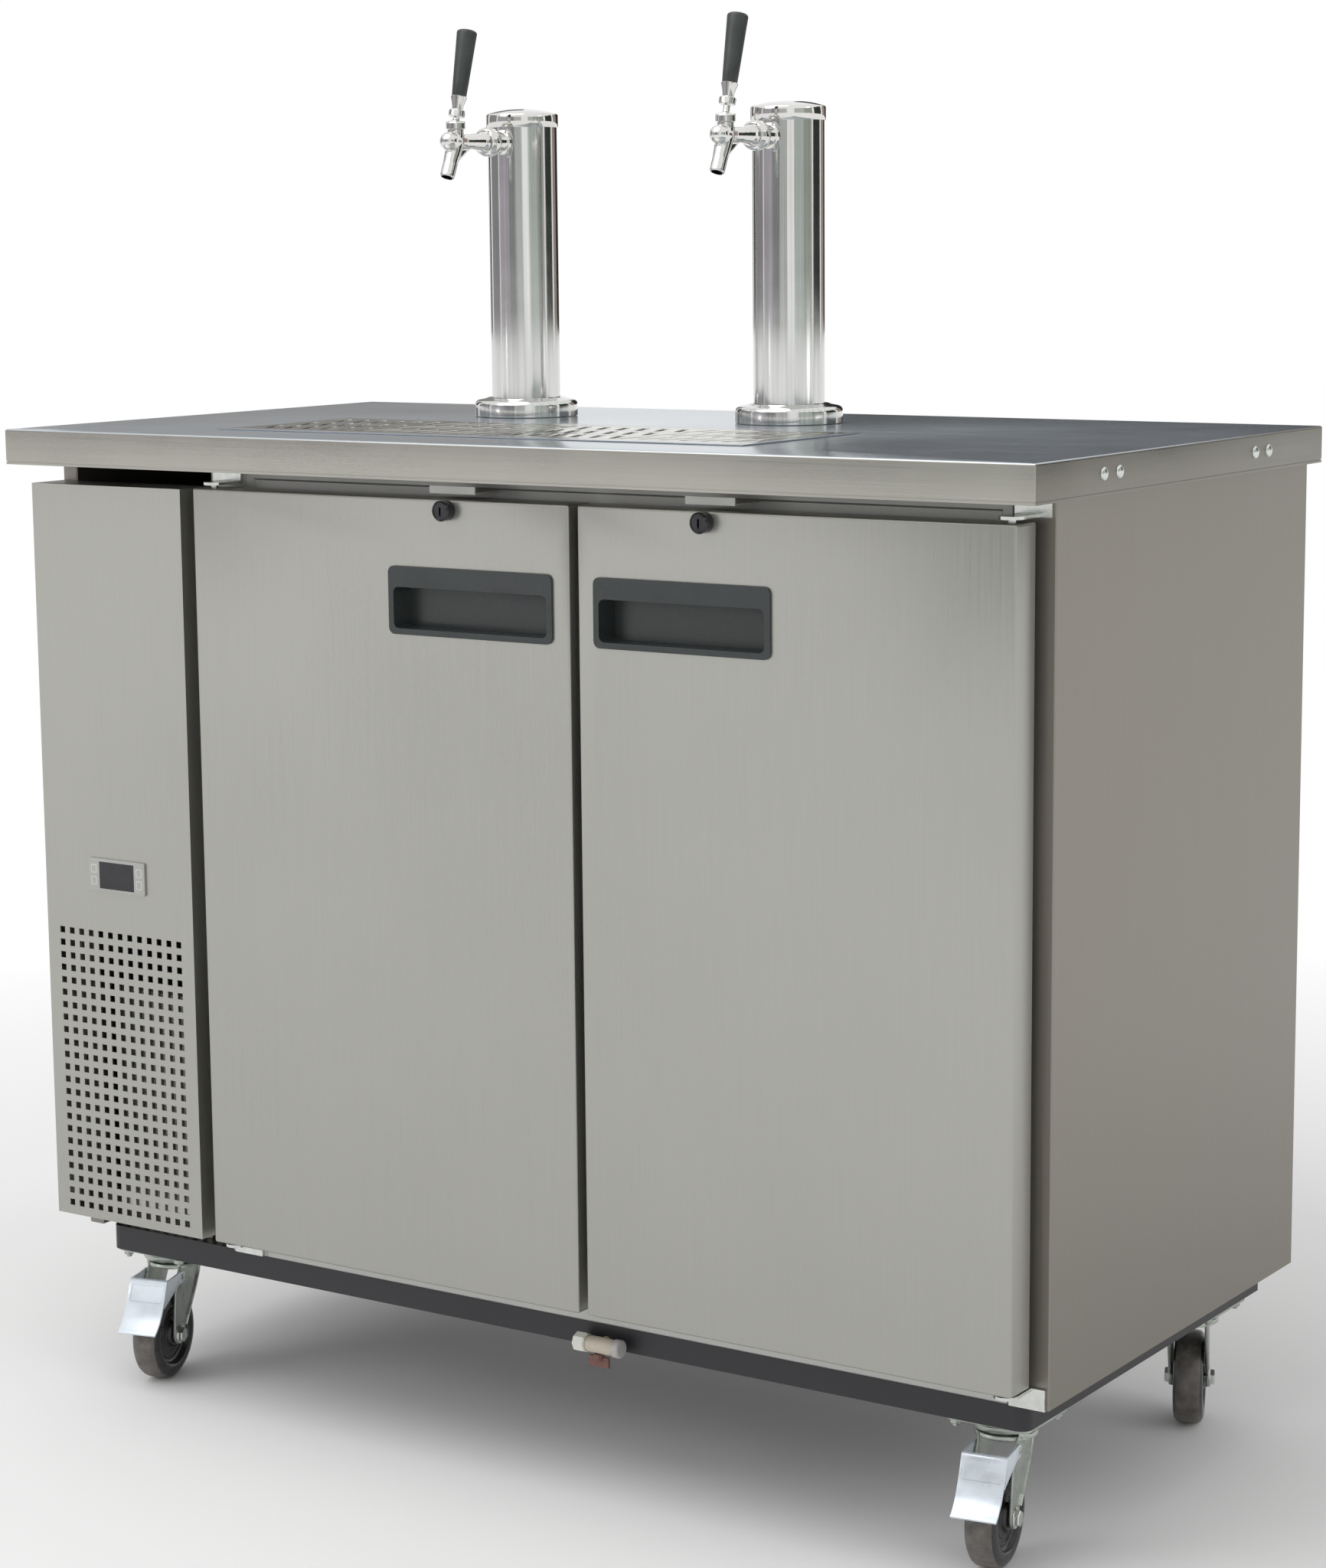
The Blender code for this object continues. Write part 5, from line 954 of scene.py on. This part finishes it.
# Casters: plate with ball race, stamped fork with rolled rear edges, dished wheel, brake pedal
casterShape = {
    "yaw": {"front_left": 14, "front_right": 9, "rear_left": 188, "rear_right": 202},
    "trail": 32 * mm, "wheelRadius": 50 * mm, "plateCorner": 9 * mm, "plateThick": 3.2 * mm,
    "boltIn": 10 * mm,
    "legInner": 17.5 * mm, "legThick": 3 * mm, "crown": 31 * mm, "crownLow": 123.4 * mm,
    "crownTop": 129.4 * mm,
    "foot": 11 * mm, "pinY": -26 * mm, "pinZ": 115.4 * mm, "roll": 2.1 * mm, "headRadius": 8.4 * mm,
    "headThick": 6 * mm, "raceLow": 130 * mm, "kingpin": 6 * mm, "axle": 5.4 * mm, "washer": 10.4 * mm,
    "stud": 3.4 * mm,
    "boltWasher": 7 * mm, "brace": 1.8 * mm, "legEdge": 0.9 * mm, "pedalEdge": 0.6 * mm,
    "padMargin": 3.6 * mm,
    "padStep": 0.8 * mm, "padDepth": 0.7 * mm, "pedalHalf": 23.2 * mm, "pedalSheet": 2.4 * mm,
}


def localTurned(name, profile, centre, axis, place, steps=64, angle=35, ring=False):
    piece = turned(name, profile, centre, axis, steps, angle, ring)
    piece.matrix_world = place
    applyPlace(piece)
    return piece


def rodAlong(name, points, radius, place):
    # a round wire laid along a path of points
    piece = drawPath(name, points)
    objectMode()
    activate(piece)
    bpy.ops.object.convert(target="CURVE")
    piece = bpy.context.object
    piece.data.bevel_depth = radius
    piece.data.bevel_resolution = 3
    piece.data.use_fill_caps = True
    activate(piece)
    bpy.ops.object.convert(target="MESH")
    piece = bpy.context.object
    piece.matrix_world = place
    applyPlace(piece)
    return piece


# turns an outline in XY to YZ, with its thickness along X
sideView = Matrix(((0, 0, 1, 0), (1, 0, 0, 0), (0, 1, 0, 0), (0, 0, 0, 1)))


def makeCasterPlate(corner, place):
    shape = casterShape
    low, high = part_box(corner + "_caster_plate")
    top = high.z
    middle = (low + high) / 2
    flat = Matrix.Translation((middle.x, middle.y, top - shape["plateThick"]))
    half = (high - low) / 2
    plate = cutOut(corner + "_plate", roundedOutline((-half.x, -half.y), (half.x, half.y),
                                                     shape["plateCorner"], 5),
                   shape["plateThick"], flat)
    roundEdges(plate, 0.8 * mm, 3)
    ringTop = top - shape["plateThick"] + 0.5 * mm
    rings = [(0, ringTop), (40 * mm, ringTop), (39 * mm, ringTop - 2.2 * mm), (37.4 * mm, ringTop - 3.6 * mm),
             (35 * mm, ringTop - 4 * mm), (34.2 * mm, ringTop - 5 * mm), (34.4 * mm, ringTop - 8 * mm),
             (33.4 * mm, ringTop - 10.2 * mm), (31.5 * mm, ringTop - 11 * mm), (30 * mm, shape["raceLow"]),
             (0, shape["raceLow"])]
    race = turned("race", rings, (middle.x, middle.y, 0), "+Z", 96, 30)
    kingpin = shape["kingpin"]
    pin = [(0, shape["raceLow"] + 0.5 * mm), (kingpin, shape["raceLow"] + 0.5 * mm),
           (kingpin, low.z + 0.6 * mm),
           (kingpin - 0.8 * mm, low.z), (0, low.z)]
    pieces = [plate, race, turned("kingpin", pin, (middle.x, middle.y, 0), "+Z", 32)]
    for across in (-1, 1):
        for along in (-1, 1):
            spot = (middle.x + across * (half.x - shape["boltIn"]),
                    middle.y + along * (half.y - shape["boltIn"]), 0)
            washer = [(0, top - 3 * mm), (shape["boltWasher"], top - 3 * mm),
                      (shape["boltWasher"], top - 4.6 * mm), (0, top - 4.6 * mm)]
            nut = [(0, top - 4 * mm), (5.6 * mm, top - 4 * mm), (5.8 * mm, top - 4.6 * mm),
                   (5.8 * mm, top - 8.6 * mm),
                   (5 * mm, top - 9.4 * mm), (0, top - 9.4 * mm)]
            stub = [(0, top - 9 * mm), (3 * mm, top - 9 * mm), (3 * mm, top - 11.6 * mm),
                    (2.4 * mm, top - 12.2 * mm),
                    (0, top - 12.2 * mm)]
            pieces += [turned("washer", washer, spot, "+Z", 32), turned("nut", nut, spot, "+Z", 6),
                       turned("stub", stub, spot, "+Z", 24)]
    dress(joined(pieces, corner + "_caster_top"), "zinc", "cabinet", "zinc", corner + "_caster_plate")


def makeFork(corner, place, braked):
    shape = casterShape
    low, top, crown = shape["crownLow"], shape["crownTop"], shape["crown"]
    profile = [(6.6 * mm, top), (crown - 5 * mm, top), (crown - 3.4 * mm, top - 0.3 * mm),
               (crown - 0.8 * mm, top - 1.4 * mm),
               (crown, top - 3 * mm), (crown, low + 0.6 * mm), (crown - 0.8 * mm, low), (6.6 * mm, low)]
    pieces = [localTurned("crown", profile, (0, 0, 0), "+Z", place, 96, 30, True)]
    axleY, axleZ, foot = -shape["trail"], shape["wheelRadius"], shape["foot"]
    rear = [(20 * mm, top - 1 * mm), (20.4 * mm, 119 * mm), (17 * mm, 108 * mm), (9 * mm, 94 * mm),
            (-1 * mm, 80 * mm),
            (-10.5 * mm, 66 * mm), (-17 * mm, 57 * mm)]
    front = [(-43 * mm, 54 * mm), (-42 * mm, 66 * mm), (-40.5 * mm, 82 * mm), (-38 * mm, 98 * mm),
             (-34 * mm, 112 * mm),
             (-28 * mm, 122 * mm), (-24 * mm, top - 1 * mm)]
    outline = rear + bow(axleY, axleZ, foot, -5, -175, 12) + front
    inner, thick = shape["legInner"], shape["legThick"]
    for side in (-1, 1):
        start = inner if side > 0 else -inner - thick
        leg = cutOut("leg", outline, thick, place @ Matrix.Translation((start, 0, 0)) @ sideView)
        roundEdges(leg, shape["legEdge"], 3, 40)
        pieces.append(leg)
        roll = [(side * (inner + thick - 0.6 * mm), along, up) for along, up in rear]
        pieces.append(rodAlong("roll", roll, shape["roll"], place))
        brace = [(side * (inner + 0.5 * mm), 19 * mm, top - 2.4 * mm),
                 (side * 8 * mm, 27.6 * mm, top - 3 * mm)]
        pieces.append(rodAlong("brace", brace, shape["brace"], place))
        reach = inner + thick
        axis = "+X" if side > 0 else "-X"
        washer = [(0, -1 * mm), (shape["washer"], -1 * mm), (shape["washer"], 1.1 * mm),
                  (shape["washer"] - 0.6 * mm, 1.6 * mm), (0, 1.6 * mm)]
        pieces.append(localTurned("washer", washer, (side * reach, axleY, axleZ), axis, place, 48))
        head = shape["headRadius"]
        nut = [(0, 1 * mm), (head, 1 * mm), (head, shape["headThick"] - 1.2 * mm),
               (head - 1 * mm, shape["headThick"]),
               (0, shape["headThick"] + 0.3 * mm)]
        pieces.append(localTurned("axle_nut", nut, (side * reach, axleY, axleZ), axis, place, 6, 20))
        if braked:
            stud = [(0, -0.5 * mm), (shape["stud"], -0.5 * mm), (shape["stud"], 3 * mm),
                    (shape["stud"] - 0.6 * mm, 3.4 * mm), (0, 3.6 * mm)]
            pieces.append(localTurned("pedal_stud", stud, (side * reach, shape["pinY"], shape["pinZ"]), axis,
                                      place, 32))
    radius, reach = shape["axle"], inner + 1 * mm
    axle = [(0, -reach), (radius, -reach), (radius, reach), (0, reach)]
    pieces.append(localTurned("axle", axle, (0, axleY, axleZ), "+X", place, 32))
    fork = joined(pieces, corner + "_fork_stamping")
    dress(fork, "zinc", corner + "_yoke", "zinc", corner + "_fork")
    centre = place @ Vector((0, axleY, axleZ))
    across = (place.to_3x3() @ Vector((1, 0, 0))).normalized()
    addLook(fork, "brightZinc", lambda middle, normal: abs((middle - centre).dot(across)) > inner + thick
            + 0.2 * mm
            and (middle - centre).length < 33 * mm)
    smooth(fork, 30)


def makeWheel(corner, place):
    shape = casterShape
    half = [(5.9, 16), (10.6, 16), (12.6, 15.4), (13.6, 13.8), (14.2, 11.4), (15.6, 10.2), (19, 9.8),
            (19.6, 10.5),
            (21, 10.5), (21.6, 9.8), (26, 9.8), (26.6, 10.4), (28, 10.4), (28.6, 9.8), (31, 10.2),
            (32.6, 11.4), (33.6, 13.8),
            (35, 15.4), (37.4, 16), (41, 15.9), (44.6, 15), (47.4, 13), (49.2, 10.2), (49.9, 6.5), (50, 3),
            (50, 0)]
    profile = [(radius * mm, side * mm) for radius, side in half]
    profile += [(radius * mm, -side * mm) for radius, side in reversed(half[:-1])]
    wheel = localTurned(corner + "_wheel_tyre", profile, (0, -shape["trail"], shape["wheelRadius"]), "+X",
                        place, 96, 35, True)
    dress(wheel, "wheelCheek", corner + "_roller", "wheel_rubber", corner + "_wheel")
    centre = place @ Vector((0, -shape["trail"], shape["wheelRadius"]))
    across = (place.to_3x3() @ Vector((1, 0, 0))).normalized()

    def onTread(middle, normal):
        arm = middle - centre
        return (arm - across * arm.dot(across)).length > 47.9 * mm

    # the tread band takes the dark rubber look with the painted lighter sheen
    addLook(wheel, "wheelTreadSheen", onTread)


def makePedal(corner, place):
    shape = casterShape
    half = shape["pedalHalf"]
    line = [(-59.8, 119.9), (-61.6, 119.2), (-63.2, 117.4), (-65.2, 112), (-67.6, 105.5), (-70.4, 99),
            (-73.4, 93.2),
            (-75.2, 90.2), (-77.4, 86), (-80.2, 81.4), (-83.8, 76.8), (-88, 72.4), (-92, 69), (-95.6, 66.6)]
    sheet = drawPath(corner + "_pedal_sheet", [(-half, along * mm, up * mm) for along, up in line])
    bpy.ops.mesh.extrude_region_move(TRANSFORM_OT_translate={"value": (2 * half, 0, 0)})
    bpy.ops.mesh.select_all(action="SELECT")
    bpy.ops.mesh.normals_make_consistent(inside=False)
    objectMode()
    applyModifier(sheet, "SOLIDIFY", thickness=shape["pedalSheet"], offset=0)
    editFaces(sheet, lambda middle, normal: normal.y < -0.5 and 94 * mm < middle.z < 118 * mm
              and abs(middle.x) < half)
    bpy.ops.mesh.inset(thickness=shape["padMargin"], depth=0)
    bpy.ops.mesh.inset(thickness=shape["padStep"], depth=-shape["padDepth"])
    objectMode()
    roundEdges(sheet, shape["pedalEdge"], 3, 50)
    ear = [(-19.6, 117.8), (-26, 122.4), (-32, 121.8), (-42, 121), (-60.5, 120.3), (-64.6, 114.5),
           (-70.8, 99.8), (-76, 90.4),
           (-70, 91.6), (-58, 97.4), (-44, 104.2), (-33, 108.6), (-26, 108.4), (-20.6, 111.2)]
    pieces = [sheet]
    for start in (-half, half - shape["pedalSheet"]):
        wing = cutOut("ear", [(along * mm, up * mm) for along, up in ear], shape["pedalSheet"],
                      Matrix.Translation((start, 0, 0)) @ sideView)
        roundEdges(wing, shape["pedalEdge"], 3, 50)
        pieces.append(wing)
    pedal = joined(pieces, corner + "_pedal_stamping")
    pedal.matrix_world = place
    dress(pedal, "whiteZinc", corner + "_brake", "white_zinc", corner + "_brake_pedal")
    smooth(pedal, 30)


for corner, yaw in casterShape["yaw"].items():
    plateLow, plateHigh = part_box(corner + "_caster_plate")
    centre = (plateLow + plateHigh) / 2
    place = Matrix.Translation((centre.x, centre.y, 0)) @ Matrix.Rotation(math.radians(yaw), 4, "Z")
    braked = corner.startswith("front")
    makeCasterPlate(corner, place)
    makeFork(corner, place, braked)
    makeWheel(corner, place)
    if braked:
        makePedal(corner, place)
print("casters made")

# Drain valve under the doors: white union nut, pale barrel, grey end cap and a small lever
valveShape = {"nut": 10.2 * mm, "nutLength": 14 * mm, "barrel": 8.5 * mm, "cap": 9.4 * mm,
              "capLength": 9 * mm, "neck": 5.5 * mm, "neckLength": 14 * mm}


def makeValve():
    shape = valveShape
    low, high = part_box("drain_valve_body")
    leverLow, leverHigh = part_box("drain_valve_lever")
    y, z = (leverLow.y + leverHigh.y) / 2, (low.z + high.z) / 2
    length = high.x - low.x
    nut = [(0, 0), (shape["nut"] - 1.4 * mm, 0), (shape["nut"], 1.2 * mm),
           (shape["nut"], shape["nutLength"] - 1.2 * mm),
           (shape["nut"] - 1 * mm, shape["nutLength"]), (0, shape["nutLength"])]
    white = turned("drain_nut", nut, (low.x, y, z), "+X", 8, 20)
    dress(white, "valveWhite", "cabinet", "valve_plastic", "drain_valve_body")
    barrel = [(0, shape["nutLength"] - 1 * mm), (7.2 * mm, shape["nutLength"] - 1 * mm),
              (7.2 * mm, shape["nutLength"] + 2.4 * mm),
              (shape["barrel"], shape["nutLength"] + 3.6 * mm), (shape["barrel"], length - 14 * mm),
              (7.8 * mm, length - 12 * mm),
              (7.8 * mm, length - 8 * mm), (0, length - 8 * mm)]
    body = turned("drain_barrel", barrel, (low.x, y, z), "+X", 48)
    neck = [(0, 0), (shape["neck"], 0), (shape["neck"], shape["neckLength"]), (0, shape["neckLength"])]
    rise = turned("drain_neck", neck, (leverLow.x / 2 + leverHigh.x / 2, y, z), "+Y", 32)
    dress(joined([body, rise], "drain_barrel"), "valvePlastic", "cabinet", "valve_plastic",
          "drain_valve_body")
    cap = [(0, length - shape["capLength"]), (shape["cap"] - 0.8 * mm, length - shape["capLength"]),
           (shape["cap"], length - shape["capLength"] + 0.8 * mm), (shape["cap"], length - 1.4 * mm),
           (shape["cap"] - 1.4 * mm, length), (0, length)]
    dress(turned("drain_cap", cap, (low.x, y, z), "+X", 40), "valveGrey", "cabinet", "valve_plastic",
          "drain_valve_body")
    for materialSlot in nodes["drain_valve_lever"].material_slots:
        materialSlot.material = looks["leverBrown"]


makeValve()
print("drain valve made")

# CAD pieces that keep their own shape
keptNodes = {
    # painted shade: the side panels and the rear wall take the darker side copy of the steel
    "shadedSideSteel": ["left_side_panel", "right_side_panel", "rear_wall"],
    "liner": ["partition_wall", "cabinet_floor", "centre_post", "evaporator_cover"],
    "blackPaint": ["base_plinth", "fan_shroud", "compressor"],
    "frontSteel": ["grille_panel"],
    # painted light: the drip tray takes the lighter top copy of the steel
    "litTopSteel": ["drip_tray"],
    "finMetal": ["condenser_coil"],
    "blackPlastic": ["condenser_fan"],
    "gasketRubber": ["left_door_gasket", "right_door_gasket"],
    "brightZinc": ["left_top_hinge", "left_bottom_hinge", "right_top_hinge", "right_bottom_hinge"],
}
for lookName, names in keptNodes.items():
    for name in names:
        for materialSlot in nodes[name].material_slots:
            materialSlot.material = looks[lookName]
print("kept pieces dressed")

# Studio: pale floor, white surroundings, soft lamps and grey cards that only the polished metal sees
studio = {
    "ambient": 0.62, "floorGrey": 0.93, "floorFadeStart": 1.1, "floorFadeEnd": 2.6,
    "lamps": [
        {"name": "topLamp", "place": (-0.6, -1.4, 3.6), "aim": (0, 0, 0.7), "size": 3.2, "power": 46},
        {"name": "frontLamp", "place": (-2.6, -3.8, 2.2), "aim": (0, 0, 0.6), "size": 2.6, "power": 40},
        {"name": "rightLamp", "place": (4.2, 0.6, 2.0), "aim": (0.4, 0, 0.6), "size": 2.4, "power": 16},
    ],
    "cardRadius": 3.3, "cardLow": 1.06, "cardHigh": 2.6, "cardCentre": (-0.08, 0.13),
    "cards": [  # from the left edge of a column to its right edge, as the camera sees it
        {"from": 128, "to": 146, "grey": (0.28, 0.27, 0.26)},
        {"from": 152, "to": 166, "grey": (0.05, 0.05, 0.05)},
        {"from": 176, "to": 214, "grey": (0.30, 0.29, 0.30)},
        {"from": 218, "to": 252, "grey": (0.40, 0.37, 0.41)},
        {"from": 252, "to": 276, "grey": (0.26, 0.27, 0.27)},
        {"from": 276, "to": 300, "grey": (0.52, 0.53, 0.52)},
        {"from": 322, "to": 352, "grey": (0.50, 0.54, 0.51)},
        {"from": 352, "to": 380, "grey": (0.33, 0.36, 0.32)},
        {"from": 386, "to": 418, "grey": (0.04, 0.045, 0.04)},
        {"from": 426, "to": 446, "grey": (0.34, 0.27, 0.24)},
        {"from": 446, "to": 478, "grey": (0.03, 0.03, 0.03)},
    ],
}


def whiteForRays(tree):
    # 1 for camera, glossy and transmission rays, otherwise 0
    path = addNode(tree, "ShaderNodeLightPath")
    either = mathNode(tree, "MAXIMUM", path.outputs["Is Camera Ray"], path.outputs["Is Glossy Ray"])
    return mathNode(tree, "MAXIMUM", either, path.outputs["Is Transmission Ray"])


def makeWorld():
    world = bpy.data.worlds.new("whiteSurroundings")
    world.use_nodes = True
    tree = world.node_tree
    background = tree.nodes["Background"]
    background.inputs["Color"].default_value = (1, 1, 1, 1)
    tree.links.new(spread(tree, whiteForRays(tree), studio["ambient"], 1.0, 0.0, 1.0),
                   background.inputs["Strength"])
    bpy.context.scene.world = world


def makeFloor():
    floor = block("studio_floor", (-30, -30, -0.02), (30, 30, 0))
    made, tree, shader = newMaterial("paleFloor")
    shader.inputs["Roughness"].default_value = 0.9
    speck = objectPattern(tree, (1, 1, 1), Scale=300.0, Detail=2.0)
    tree.links.new(tinted(tree, (1, 1, 1), spread(tree, speck.outputs["Fac"], studio["floorGrey"] - 0.005,
                                                  studio["floorGrey"] + 0.005)), shader.inputs["Base Color"])
    place = addNode(tree, "ShaderNodeTexCoord")
    length = addNode(tree, "ShaderNodeVectorMath", operation="LENGTH")
    tree.links.new(place.outputs["Object"], length.inputs[0])
    fade = spread(tree, length.outputs["Value"], 0.0, 1.0, studio["floorFadeStart"], studio["floorFadeEnd"])
    glow = addNode(tree, "ShaderNodeEmission", Strength=1.0)
    mix = addNode(tree, "ShaderNodeMixShader")
    tree.links.new(mathNode(tree, "MULTIPLY", fade, whiteForRays(tree)), mix.inputs["Fac"])
    tree.links.new(shader.outputs["BSDF"], mix.inputs[1])
    tree.links.new(glow.outputs["Emission"], mix.inputs[2])
    tree.links.new(mix.outputs["Shader"], tree.nodes["Material Output"].inputs["Surface"])
    floor.data.materials.append(made)


def makeCards():
    centreX, centreY = studio["cardCentre"]
    for number, card in enumerate(studio["cards"]):
        points = []
        for step in range(9):
            angle = math.radians(card["from"] + (card["to"] - card["from"]) * step / 8)
            points.append((centreX + studio["cardRadius"] * math.cos(angle),
                           centreY + studio["cardRadius"] * math.sin(angle), studio["cardLow"]))
        piece = drawPath(f"grey_card_{number}", points)
        rise = studio["cardHigh"] - studio["cardLow"]
        bpy.ops.mesh.extrude_region_move(TRANSFORM_OT_translate={"value": (0, 0, rise)})
        objectMode()
        made = bpy.data.materials.new(f"cardGrey{number}")
        made.use_nodes = True
        tree = made.node_tree
        glow = addNode(tree, "ShaderNodeEmission", Strength=1.0)
        glow.inputs["Color"].default_value = (*card["grey"], 1.0)
        tree.links.new(glow.outputs["Emission"], tree.nodes["Material Output"].inputs["Surface"])
        piece.data.materials.append(made)
        applyPlace(piece)
        piece.visible_camera = False
        piece.visible_diffuse = False
        piece.visible_shadow = False
        piece.visible_transmission = False


def makeLamps():
    for lamp in studio["lamps"]:
        data = bpy.data.lights.new(lamp["name"], "AREA")
        data.shape = "DISK"
        data.size = lamp["size"]
        data.energy = lamp["power"]
        light = bpy.data.objects.new(lamp["name"], data)
        light.location = lamp["place"]
        aim = Vector(lamp["aim"]) - Vector(lamp["place"])
        light.rotation_euler = aim.to_track_quat("-Z", "Y").to_euler()
        bpy.context.scene.collection.objects.link(light)


makeWorld()
makeFloor()
makeCards()
makeLamps()
placeCamera()
bpy.context.scene.view_settings.view_transform = "Standard"
print("studio made")
